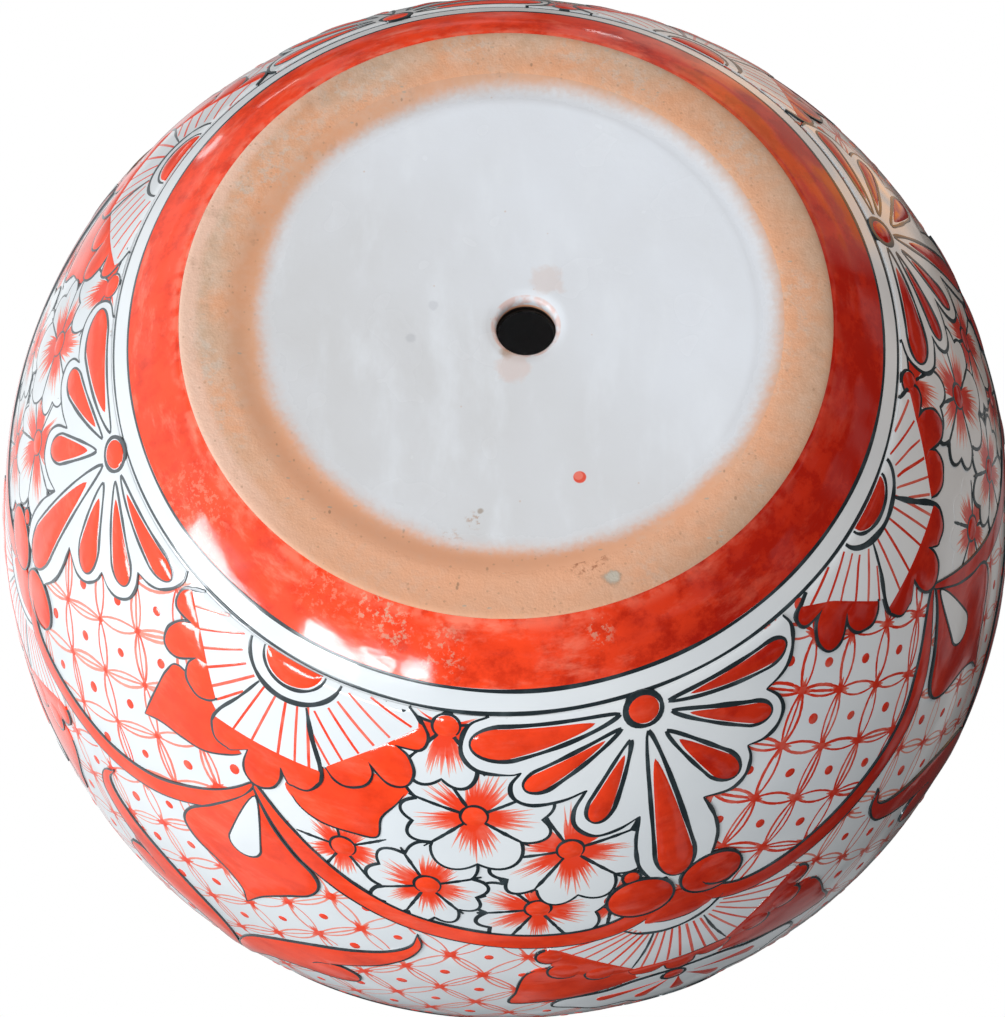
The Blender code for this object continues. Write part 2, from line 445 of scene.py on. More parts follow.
class SurfaceMesh:
    """Closed shapes on the pot's surface, gathered into one mesh."""

    SEAM_PAD = 0.35
    FILLING = 0.7
    LIP = 0.35
    ROW = 0.87
    WELD = 1e-7
    GROUND = 0.00102
    HEM_SLOPE = 0.0012
    BED = 0.0009
    CREASE = math.radians(50)

    def __init__(self, surface: PotSurface) -> None:
        """Start an empty mesh on a surface."""
        self.surface = surface
        self.columns: list[Array] = []
        self.faces: list[Sequence[int]] = []
        self.count = 0

    def add(self, theta: Array, way: Array, lift: Array | float,
            faces: Sequence[Sequence[int]], ink: Array | float = 1.0) -> None:
        """Add one shape.

        Args:
            theta: angle of each corner.
            way: distance of each corner along the outline.
            lift: height of each corner above the clay.
            faces: corner numbers of each face.
            ink: how much colour each corner carries, from 0 to 1.
        """
        rows = np.broadcast_arrays(np.asarray(theta, float), way, lift, ink)
        self.columns.append(np.column_stack(rows))
        self.faces.extend([[corner + self.count for corner in face] for face in faces])
        self.count += len(rows[0])

    def coat(self, ways: Array, top: OverSurface,
             bottom: float, steps: int) -> None:
        """Add a coat that runs right round the pot.

        Args:
            ways: distances along the outline of its rows.
            top: height of its face for given angles and distances.
            bottom: height of its back.
            steps: number of steps round the pot.
        """
        rows = len(ways)
        angle = np.linspace(-math.pi, math.pi, steps, endpoint=False)
        theta, way = (grid.ravel() for grid in np.meshgrid(angle, ways))
        front = np.arange(rows * steps).reshape(rows, steps)
        beside = np.roll(front, -1, axis=1)
        back, back_beside = front + rows * steps, beside + rows * steps
        sides = [
            (front[:-1], front[1:], beside[1:], beside[:-1]),
            (back[:-1], back_beside[:-1], back_beside[1:], back[1:]),
            (front[:1], beside[:1], back_beside[:1], back[:1]),
            (front[-1:], back[-1:], back_beside[-1:], beside[-1:]),
        ]
        faces = [face for side in sides for face in np.stack(side, -1).reshape(-1, 4).tolist()]
        lift = np.concatenate((top(theta, way), np.full(len(theta), bottom)))
        self.add(np.tile(theta, 2), np.tile(way, 2), lift, faces)

    def loop(self, ways: Array, lift: float, steps: int) -> None:
        """Add a body turned from the whole closed outline.

        Args:
            ways: distances along the outline of its rows.
            lift: its height above the clay.
            steps: number of steps round the pot.
        """
        rows = len(ways)
        angle = np.linspace(-math.pi, math.pi, steps, endpoint=False)
        theta, way = (grid.ravel() for grid in np.meshgrid(angle, ways))
        here = np.arange(rows * steps).reshape(rows, steps)
        beside, onward = np.roll(here, -1, axis=1), np.roll(here, -1, axis=0)
        faces = np.stack((here, onward, np.roll(onward, -1, axis=1), beside), -1).reshape(-1, 4)
        self.add(theta, way, lift, faces.tolist())

    def heading(self, path: Array) -> Array:
        """Unit steps across and up along a path of angles and distances."""
        radius = self.surface.radius(path[:, 1])
        along = np.column_stack((np.gradient(path[:, 0]) * radius, np.gradient(path[:, 1])))
        return along / np.maximum(np.linalg.norm(along, axis=1), 1e-9)[:, None]

    def stroke(self, path: Array, width: float, height: float, lift: float,
               ends: Pair = (0.35, 0.35), ink: Array | float = 1.0,
               section: Section = Section.BEAD, wave: Array | float = 1.0,
               swell: float = 0.3) -> None:
        """Add a brush stroke.

        Args:
            path: angles and distances along the stroke.
            width: full width in metres.
            height: how proud its crest stands.
            lift: height of what it lies on.
            ends: share of the width at its two ends.
            ink: colour along it, one value or one for each point.
            section: its cross section.
            wave: share of the width at each point, for an unsteady hand.
            swell: share of the length over which it widens from its ends.
        """
        count = len(path)
        theta, way = path[:, 0], path[:, 1]
        radius = self.surface.radius(way)
        along = self.heading(path)
        t = np.linspace(0, 1, count)
        taper = np.minimum(ends[0] + (1 - ends[0]) * np.minimum(t / swell, 1) ** self.FILLING,
                           ends[1] + (1 - ends[1]) * np.minimum((1 - t) / swell, 1) ** self.FILLING)
        half = width / 2 * taper * wave
        profile = np.array(section.value)
        sides = len(profile)
        across = half[:, None] * profile[:, 0]
        ring_theta = theta[:, None] - along[:, 1:] * across / radius[:, None]
        ring_way = way[:, None] + along[:, :1] * across
        ring_lift = lift + height * np.minimum(1, taper)[:, None] * profile[:, 1]
        if section is not Section.FINE:
            ring_lift[:, (0, -1)] = self.BED
        here = np.arange(count * sides).reshape(count, sides)
        beside = np.roll(here, -1, axis=1)
        faces = np.stack((here[:-1], beside[:-1], beside[1:], here[1:]), -1).reshape(-1, 4).tolist()
        faces += [here[0, ::-1].tolist(), here[-1].tolist()]
        shade = np.broadcast_to(ink, (count,))[:, None] * np.ones(sides)
        self.add(ring_theta.ravel(), ring_way.ravel(), ring_lift.ravel(), faces, shade.ravel())

    def plate(self, outline: Array, height: float, lift: float, edge: float = 0.0009,
              crown: float = 0.0, grain: float = 0.004, ink: float = 1.0,
              hem: float | None = None) -> None:
        """Add a filled shape with a rounded edge.

        Args:
            outline: closed outline of angles and distances.
            height: thickness inside the rounded edge.
            lift: height of what it lies on.
            edge: width of the rounded edge.
            crown: how much higher the middle swells.
            grain: spacing of the points inside.
            ink: colour that it carries.
            hem: distance along the outline towards which it slopes down, if it does.
        """
        centre = outline.mean(0)
        scale = np.array((float(self.surface.radius(centre[1])), 1.0))
        flat = divided((outline - centre) * scale, grain)
        side = np.roll(flat, -1, axis=0) - np.roll(flat, 1, axis=0)
        side /= np.maximum(np.linalg.norm(side, axis=1), 1e-9)[:, None]
        turn = 1 if self._area(flat) > 0 else -1
        inset = flat + turn * edge * np.column_stack((-side[:, 1], side[:, 0]))
        low, high = flat.min(0), flat.max(0)
        grid_x, grid_y = np.meshgrid(np.arange(low[0], high[0], grain),
                                     np.arange(low[1], high[1], grain * self.ROW))
        grid_x[1::2] += grain / 2
        grid = np.column_stack((grid_x.ravel(), grid_y.ravel()))
        inner = [self._kept(inset, flat, edge * 0.9), self._kept(grid, flat, edge + grain * 0.4)]
        corners = np.vstack([flat] + inner)
        order = list(range(len(flat)))
        places = [Vector(corner) for corner in corners]
        found, _, faces, _, _, _ = delaunay_2d_cdt(places, [], [order], 1, self.WELD)
        found = np.array([tuple(corner) for corner in found])
        if not faces:
            return
        distance = edge_distance(found, flat)
        round_off = 1 - np.clip(distance / edge, 0, 1)
        rise = height * (self.LIP + (1 - self.LIP) * np.sqrt(1 - round_off**2))
        rise = rise + crown * (1 - np.exp(-distance / (edge * 3)))
        place = found / scale + centre
        if hem is not None:
            near = np.clip(np.abs(place[:, 1] - hem) / self.HEM_SLOPE, 0, 1)
            rise = rise - max(0.0, lift - self.GROUND) * (1 - near) ** 2
        count = len(found)
        top = [list(face)[::-1] for face in faces]
        bottom = [[corner + count for corner in face] for face in faces]
        walls = self._walls(faces, count)
        self.add(np.tile(place[:, 0], 2), np.tile(place[:, 1], 2),
                 np.concatenate((lift + rise, np.full(count, self.BED))), top + bottom + walls, ink)

    @staticmethod
    def _area(outline: Array) -> float:
        """Signed area of a closed outline."""
        x, y = outline.T
        return float(np.sum(x * np.roll(y, -1) - y * np.roll(x, -1)) / 2)

    @staticmethod
    def _kept(points: Array, outline: Array, clearance: float) -> Array:
        """Points inside an outline that keep clear of it."""
        points = points[is_inside(points, outline)]
        return points[edge_distance(points, outline) > clearance] if len(points) else points

    @staticmethod
    def _walls(faces: Sequence[Sequence[int]], count: int) -> list[list[int]]:
        """Faces that join the rim of a sheet to the rim of its back."""
        edges = {(face[i - 1], face[i]) for face in faces for i in range(len(face))}
        return [[a, b, b + count, a + count] for a, b in edges if (b, a) not in edges]

    def build(self, name: str) -> bpy.types.Object:
        """Make the object.

        Args:
            name: name of the piece.

        Returns:
            The object, smooth shaded, with its ink and its wrapped map.
        """
        table = np.vstack(self.columns)
        theta, way, lift, ink = table.T
        mesh = bpy.data.meshes.new(name)
        mesh.from_pydata(self.surface.points(theta, way, lift).tolist(), [], self.faces)
        tool = bmesh.new()
        tool.from_mesh(mesh)
        bmesh.ops.recalc_face_normals(tool, faces=tool.faces)
        tool.to_mesh(mesh)
        tool.free()
        mesh.attributes.new("ink", "FLOAT", "POINT").data.foreach_set("value", ink.astype(np.float32))
        self._wrap(mesh, theta, way)
        mesh.shade_smooth()
        mesh.set_sharp_from_angle(angle=self.CREASE)
        piece = bpy.data.objects.new(name, mesh)
        bpy.context.scene.collection.objects.link(piece)
        return piece

    def _wrap(self, mesh: bpy.types.Mesh, theta: Array, way: Array) -> None:
        """Give a mesh a map that unrolls the pot: angle across, distance up.

        Args:
            mesh: the mesh.
            theta: angle of each of its corners.
            way: distance of each corner along the outline.
        """
        corner = np.empty(len(mesh.loops), np.int32)
        mesh.loops.foreach_get("vertex_index", corner)
        starts = np.empty(len(mesh.polygons), np.int32)
        mesh.polygons.foreach_get("loop_start", starts)
        angle = theta[corner]
        low = np.minimum.reduceat(angle, starts)
        high = np.maximum.reduceat(angle, starts)
        sizes = np.diff(np.append(starts, len(corner)))
        split = np.repeat(high - low > math.pi, sizes)
        angle = np.where(split & (angle < 0), angle + 2 * math.pi, angle)
        across = (angle + math.pi + self.SEAM_PAD) / (2 * math.pi + 2 * self.SEAM_PAD)
        span = max(way.max() - way.min(), MM)
        up = (way[corner] - way.min()) / span
        layer = mesh.uv_layers.new(name="OFBake")
        layer.data.foreach_set("uv", np.column_stack((across, up)).astype(np.float32).ravel())


# Finishes


class Field:
    """A number that varies over a surface; Python's operators add Math nodes."""

    def __init__(self, graph: "NodeGraph", socket: bpy.types.NodeSocket) -> None:
        """Wrap an output socket of a graph."""
        self.graph = graph
        self.socket = socket

    def _math(self, operation: str, first: "Field | float", second: "Field | float") -> "Field":
        """Join two numbers by a Math node."""
        return self.graph.node("ShaderNodeMath", {"operation": operation}, {0: first, 1: second})

    def __add__(self, other: "Field | float") -> "Field":
        """Sum."""
        return self._math("ADD", self, other)

    __radd__ = __add__

    def __sub__(self, other: "Field | float") -> "Field":
        """Difference."""
        return self._math("SUBTRACT", self, other)

    def __rsub__(self, other: float) -> "Field":
        """Difference from a number."""
        return self._math("SUBTRACT", other, self)

    def __mul__(self, other: "Field | float") -> "Field":
        """Product."""
        return self._math("MULTIPLY", self, other)

    __rmul__ = __mul__


class NodeGraph:
    """Node tree of a material or of the surround."""

    def __init__(self, tree: bpy.types.NodeTree) -> None:
        """Wrap a tree."""
        self.tree = tree

    def node(self, kind: str, settings: dict[str, object] | None = None,
             inputs: dict[int | str, object] | None = None, output: int | str = 0) -> Field:
        """Add any node.

        Args:
            kind: type of the node.
            settings: properties, set before its sockets.
            inputs: values or links of its sockets.
            output: socket that is handed back.

        Returns:
            The output, wrapped.
        """
        made = self.tree.nodes.new(kind)
        for key, value in (settings or {}).items():
            setattr(made, key, value)
        for key, value in (inputs or {}).items():
            self._feed(made.inputs[key], value)
        return Field(self, made.outputs[output])

    def _feed(self, socket: bpy.types.NodeSocket, value: object) -> None:
        """Set a socket to a value, or link it."""
        if isinstance(value, Field):
            self.tree.links.new(value.socket, socket)
        elif isinstance(value, tuple) and len(value) == 3 and socket.type == "RGBA":
            socket.default_value = (*value, 1)
        else:
            socket.default_value = value

    def blend(self, share: Field | float, first: object, second: object) -> Field:
        """Colour between two colours."""
        return self.node("ShaderNodeMix", {"data_type": "RGBA", "clamp_factor": True},
                         {0: share, 6: first, 7: second}, 2)


class Graph(NodeGraph):
    """Node tree of one material, with a Principled shader."""

    def __init__(self, name: str) -> None:
        """Start a material."""
        self.material = bpy.data.materials.new(name)
        self.material.use_nodes = True
        super().__init__(self.material.node_tree)
        self.shader = self.tree.nodes["Principled BSDF"]

    def place(self, stretch: Spot = (1, 1, 1)) -> Field:
        """Place on the object in metres, stretched along its axes."""
        here = self.node("ShaderNodeTexCoord", output="Object")
        if stretch == (1, 1, 1):
            return here
        return self.node("ShaderNodeVectorMath", {"operation": "MULTIPLY"}, {0: here, 1: stretch})

    def distance(self, point: Spot) -> Field:
        """Level distance in metres from a point."""
        flat = self.place((1, 1, 0))
        return self.node("ShaderNodeVectorMath", {"operation": "DISTANCE"}, {0: flat, 1: point}, "Value")

    def noise(self, scale: float, detail: float = 2.0, stretch: Spot = (1, 1, 1),
              rough: float = 0.5) -> Field:
        """Cloudy pattern with a mean of about a half."""
        return self.node("ShaderNodeTexNoise", {"noise_dimensions": "3D"},
                         {"Vector": self.place(stretch), "Scale": scale, "Detail": detail,
                          "Roughness": rough}, "Fac")

    def axis(self, number: int) -> Field:
        """Place along one axis of the object, in metres."""
        return self.node("ShaderNodeSeparateXYZ", None, {0: self.place()}, number)

    def specks(self, scale: float, size: float, share: float, stretch: Spot = (1, 1, 1)) -> Field:
        """Scattered dots: 1 inside a dot and 0 elsewhere.

        Args:
            scale: cells in a metre.
            size: radius of a dot, as a share of a cell.
            share: share of the cells that hold a dot.
            stretch: stretch of the cells along the axes.

        Returns:
            The dots.
        """
        where = {"Vector": self.place(stretch), "Scale": scale}
        settings = {"feature": "F1"}
        gap = self.node("ShaderNodeTexVoronoi", settings, where, "Distance")
        lot = self.node("ShaderNodeTexVoronoi", settings, where, "Color")
        chance = self.node("ShaderNodeSeparateColor", None, {0: lot}, 0)
        return self.ramp(gap, size, size * 0.5) * self.ramp(chance, share, share * 0.9)

    def ramp(self, value: Field, low: float, high: float) -> Field:
        """Soft step from 0 at low to 1 at high."""
        return self.node("ShaderNodeMapRange", {"interpolation_type": "SMOOTHSTEP", "clamp": True},
                         {"Value": value, "From Min": low, "From Max": high})

    def bump(self, height: Field, strength: float, depth: float) -> Field:
        """Normal of a surface with small heights, of a depth in metres."""
        return self.node("ShaderNodeBump", None,
                         {"Strength": strength, "Distance": depth, "Height": height})

    def dress(self, **inputs: object) -> bpy.types.Material:
        """Feed the shader's sockets, named with underscores for spaces."""
        for key, value in inputs.items():
            self._feed(self.shader.inputs[key.replace("_", " ")], value)
        return self.material


@dataclass(frozen=True)
class Mark:
    """A smudge, a splash, a worn patch or a painted highlight at a place on a surface seen from below."""

    x: float
    y: float
    radius: float
    colour: Colour
    strength: float
    grain: float = 0.5
    speckled: bool = False

    def over(self, graph: Graph, colour: Field) -> Field:
        """Lay the mark over a colour.

        Args:
            graph: node tree of the finish.
            colour: colour under the mark.

        Returns:
            The colour with the mark.
        """
        away = graph.distance((self.x, self.y, 0.0))
        if self.speckled:
            crumbs = graph.ramp(graph.noise(460, 5, rough=0.7), 0.51, 0.60)
            share = graph.ramp(away, self.radius, self.radius * 0.35) * crumbs * self.strength
        else:
            ragged = away + (graph.noise(260, 3) - 0.5) * (2 * self.grain * self.radius)
            core = self.radius * (0.85 - 0.6 * self.grain)
            share = graph.ramp(ragged, self.radius, core) * self.strength
        return graph.blend(share, colour, self.colour)


@dataclass(frozen=True)
class BoreShade:
    """The dark bore of the drain hole behind its pale lip."""

    middle: Spot = (-0.0066, -0.0034, 0.0075)
    reach: float = 0.0135
    start: float = 0.0078
    end: float = 0.0090
    colour: Colour = (0.010, 0.008, 0.007)

    def over(self, graph: Graph, colour: Field) -> Field:
        """Darken a colour in the bore."""
        near = graph.ramp(graph.distance(self.middle), self.reach, self.reach * 0.95)
        return graph.blend(near * graph.ramp(graph.axis(2), self.start, self.end), colour, self.colour)


@dataclass(frozen=True)
class WhiteGlaze:
    """Glossy tin-white glaze, faintly clouded, with pinholes and stray specks."""

    name: str = "tin-white glaze"
    pale: Colour = (0.77, 0.785, 0.795)
    cool: Colour = (0.70, 0.725, 0.745)
    fleck: Colour = (0.45, 0.33, 0.27)

    def material(self) -> bpy.types.Material:
        """Make the material.

        Returns:
            The material.
        """
        graph = Graph(self.name)
        cloud = graph.ramp(graph.noise(16, 3), 0.35, 0.7)
        colour = graph.blend(cloud, self.pale, self.cool)
        colour = graph.blend(graph.specks(150, 0.09, 0.04) * 0.5, colour, self.fleck)
        colour = BoreShade().over(graph, colour)
        swell = graph.noise(45, 2) + graph.noise(210, 1) * 0.2
        return graph.dress(Base_Color=colour, Roughness=0.05 + graph.noise(30, 2) * 0.07,
                           Normal=graph.bump(swell, 0.16, 0.0008))


@dataclass(frozen=True)
class RedEnamel:
    """Brushed red enamel, deeper where it pooled, thin and pink where the brush dragged, and darker towards
    -X, a painted shade on the side away from the lamps.
    """

    name: str = "brushed red enamel"
    bright: Colour = (1.0, 0.068, 0.018)
    # deep serves the pooled enamel and also the painted shade towards -X.
    deep: Colour = (0.42, 0.011, 0.003)
    thin: Colour = (0.95, 0.20, 0.12)
    streak: Spot = (0.3, 0.3, 1.0)
    painted_shade_side: float = 0.8
    mottled: float = 0.16
    worn: float = 0.30
    rim_height: float = 0.0
    marks: tuple[Mark, ...] = ()

    def material(self) -> bpy.types.Material:
        """Make the material.

        Returns:
            The material.
        """
        graph = Graph(self.name)
        pool = graph.ramp(graph.noise(34, 4, rough=0.6), 0.42, 0.72)
        mottle = graph.ramp(graph.noise(110, 5, rough=0.7), 0.42, 0.68)
        brush = graph.ramp(graph.noise(170, 4, self.streak, 0.6), 0.45, 0.8)
        # Painted shade: the red deepens towards -X, away from the window lamps; the pink drag and pink rim
        # thin out there too.
        side = graph.ramp(graph.axis(0), 0.02, -0.11) * self.painted_shade_side
        depth = pool * 0.28 + mottle * self.mottled + brush * 0.18 + side
        colour = graph.blend(depth, self.bright, self.deep)
        drag = graph.ramp(graph.noise(120, 5, self.streak, 0.7), 0.50, 0.72) * self.worn * (1 - side)
        if self.rim_height:
            rim = graph.ramp(graph.axis(2), self.rim_height, self.rim_height * 0.3)
            drag = drag + rim * graph.ramp(graph.noise(190, 5), 0.4, 0.6) * 0.6 * (1 - side)
        colour = graph.blend(drag, colour, self.thin)
        for mark in self.marks:
            colour = mark.over(graph, colour)
        swell = graph.noise(60, 2) + graph.noise(240, 2, self.streak) * 0.3
        return graph.dress(Base_Color=colour, Roughness=0.08 + brush * 0.09,
                           Normal=graph.bump(swell, 0.2, 0.0008))


DUST = (0.60, 0.40, 0.28)
FOOT_ENAMEL = RedEnamel(
    "red foot enamel", mottled=0.42, worn=0.8, rim_height=0.0035,
    marks=(
        Mark(0.0417, -0.1028, 0.0090, DUST, 0.7, speckled=True),
        Mark(0.0352, -0.1096, 0.0080, DUST, 0.6, speckled=True),
        Mark(0.0200, -0.1165, 0.0100, DUST, 0.5, speckled=True),
        Mark(0.0562, -0.0943, 0.0150, RedEnamel.thin, 0.7, speckled=True),
        Mark(0.1021, -0.0664, 0.0200, RedEnamel.thin, 0.7, speckled=True),
        Mark(-0.0298, -0.1103, 0.0060, DUST, 0.5, speckled=True),
    ))


@dataclass(frozen=True)
class BlackEnamel:
    """Blue-black outline enamel, greyer in places, and greyed towards +X by a painted sheen."""

    name: str = "blue-black enamel"
    dense: Colour = (0.016, 0.024, 0.028)
    thin: Colour = (0.055, 0.074, 0.082)
    # Grey that paints a sheen on the enamel towards +X.
    sheen_grey: Colour = (0.105, 0.115, 0.122)

    def material(self) -> bpy.types.Material:
        """Make the material.

        Returns:
            The material.
        """
        graph = Graph(self.name)
        colour = graph.blend(graph.ramp(graph.noise(120, 3), 0.45, 0.8), self.dense, self.thin)
        # Painted sheen: the enamel turns grey towards +X, the side that faces the window lamps.
        sheen_grey = graph.ramp(graph.axis(0), 0.05, 0.145) * (0.55 + graph.noise(60, 3) * 0.8)
        return graph.dress(Base_Color=graph.blend(sheen_grey, colour, self.sheen_grey), Roughness=0.16)


@dataclass(frozen=True)
class RedWash:
    """Thin red strokes that let the white show where the brush ran dry, and deepen towards -X as painted
    shade.
    """

    name: str = "red wash strokes"
    full: Colour = (0.86, 0.052, 0.016)
    # deep is used only for the painted shade towards -X.
    deep: Colour = (0.50, 0.022, 0.009)
    dry: Colour = (0.84, 0.42, 0.33)

    def material(self) -> bpy.types.Material:
        """Make the material.

        Returns:
            The material.
        """
        graph = Graph(self.name)
        ink = graph.node("ShaderNodeAttribute", {"attribute_name": "ink"}, None, "Fac")
        load = ink * (0.6 + graph.noise(160, 2) * 0.9)
        # Painted shade: the full red deepens towards -X.
        full = graph.blend(graph.ramp(graph.axis(0), 0.0, -0.12) * 0.8, self.full, self.deep)
        return graph.dress(Base_Color=graph.blend(load, self.dry, full), Roughness=0.12)


@dataclass(frozen=True)
class Terracotta:
    """Raw fired clay, dusty in patches, with grit and nicks, and with painted light and shade that follow
    the side it faces.
    """

    name: str = "raw terracotta"
    clay: Colour = (0.765, 0.368, 0.202)
    # A brighter copy of the clay, painted light towards -Y.
    painted_lit_clay: Colour = (0.80, 0.40, 0.235)
    # A pale colour for the painted highlight on the outer edge towards +X.
    rim: Colour = (0.85, 0.55, 0.42)
    dusty: Colour = (0.565, 0.42, 0.305)
    pale: Colour = (0.79, 0.575, 0.445)
    # Burnt clay for stains and specks, also used for painted shade towards -X and at the outer edge.
    burnt_and_shaded: Colour = (0.38, 0.215, 0.13)
    grit: Colour = (0.46, 0.37, 0.29)
    ash: Colour = (0.61, 0.505, 0.42)
    middle: Spot = (-0.0042, 0.0018, 0.0)
    marks: tuple[Mark, ...] = (
        Mark(-0.0340, -0.0939, 0.0036, (0.27, 0.19, 0.13), 0.75, 0.75),
        Mark(-0.0340, -0.0937, 0.0030, (0.52, 0.47, 0.39), 0.95, 0.75),
        Mark(-0.0262, -0.0880, 0.0085, (0.36, 0.13, 0.06), 0.8, speckled=True),
    )

    def colour(self, graph: Graph) -> Field:
        """Colour of the clay, warm beside the base's glaze and dustier further out, brighter towards -Y as
        painted light, with a painted highlight on the outer edge towards +X and painted shade towards -X
        and along the rest of the outer edge.

        Args:
            graph: node tree of the finish.

        Returns:
            The colour.
        """
        outer = graph.ramp(graph.distance(self.middle), 0.089, 0.106)
        # near is towards -Y and left towards +X, the sides that face the window lamps; right is towards -X,
        # the shaded side.
        near = graph.ramp(graph.axis(1), 0.0, -0.085)
        left = graph.ramp(graph.axis(0), 0.055, 0.095)
        right = graph.ramp(graph.axis(0), -0.01, -0.085)
        dust = 1 - near * 0.8 * (1 - right * 0.8)
        patch = graph.ramp(graph.noise(34, 5, rough=0.6), 0.38, 0.62)
        cloud = graph.ramp(graph.noise(150, 5, rough=0.7), 0.40, 0.66)
        stain = graph.ramp(graph.noise(85, 6, rough=0.75), 0.56, 0.74)
        # Painted light: a brighter copy of the clay towards -Y.
        colour = graph.blend(near * 0.9, self.clay, self.painted_lit_clay)
        colour = graph.blend((0.15 + outer * 0.4) * dust * (0.2 + patch * 1.3), colour, self.dusty)
        colour = graph.blend(cloud * (0.15 + outer * 0.3) * dust, colour, self.pale)
        dabs = graph.ramp(graph.noise(230, 5, rough=0.7), 0.47, 0.62)
        dabs = dabs * graph.ramp(graph.noise(27, 2), 0.44, 0.60)
        colour = graph.blend(dabs * (0.35 + outer * 0.4) * dust, colour, self.ash)
        # Painted shade: darker towards -X on the outer ring.
        colour = graph.blend(right * outer * 0.5, colour, self.burnt_and_shaded)
        # Painted shade along the outer edge, except towards +X, where a painted highlight lies on it
        # instead.
        edge = graph.distance(self.middle) + (graph.noise(70, 3) - 0.5) * 0.004
        colour = graph.blend(graph.ramp(edge, 0.099, 0.106) * dust * (1 - left) * 0.3, colour, self.burnt_and_shaded)
        colour = graph.blend(graph.ramp(edge, 0.1045, 0.1085) * left * 0.8, colour, self.rim)
        colour = graph.blend(stain * 0.4 * dust, colour, self.burnt_and_shaded)
        colour = graph.blend(graph.specks(520, 0.28, 0.22) * 0.4, colour, self.burnt_and_shaded)
        strewn = graph.ramp(graph.noise(38, 3), 0.50, 0.60)
        colour = graph.blend(graph.specks(330, 0.24, 0.25, (0.7, 1.5, 1)) * strewn * 0.8, colour, self.grit)
        return graph.blend(graph.specks(260, 0.20, 0.3, (1.3, 0.8, 1)) * strewn * 0.8, colour, self.burnt_and_shaded)

    def material(self) -> bpy.types.Material:
        """Make the material.

        Returns:
            The material.
        """
        graph = Graph(self.name)
        colour = self.colour(graph)
        for mark in self.marks:
            colour = mark.over(graph, colour)
        colour = BoreShade().over(graph, colour)
        height = graph.noise(320, 4) + graph.noise(1200, 3) * 0.5
        return graph.dress(Base_Color=colour, Roughness=0.75 + graph.noise(200, 2) * 0.2,
                           Normal=graph.bump(height, 0.5, 0.0006))


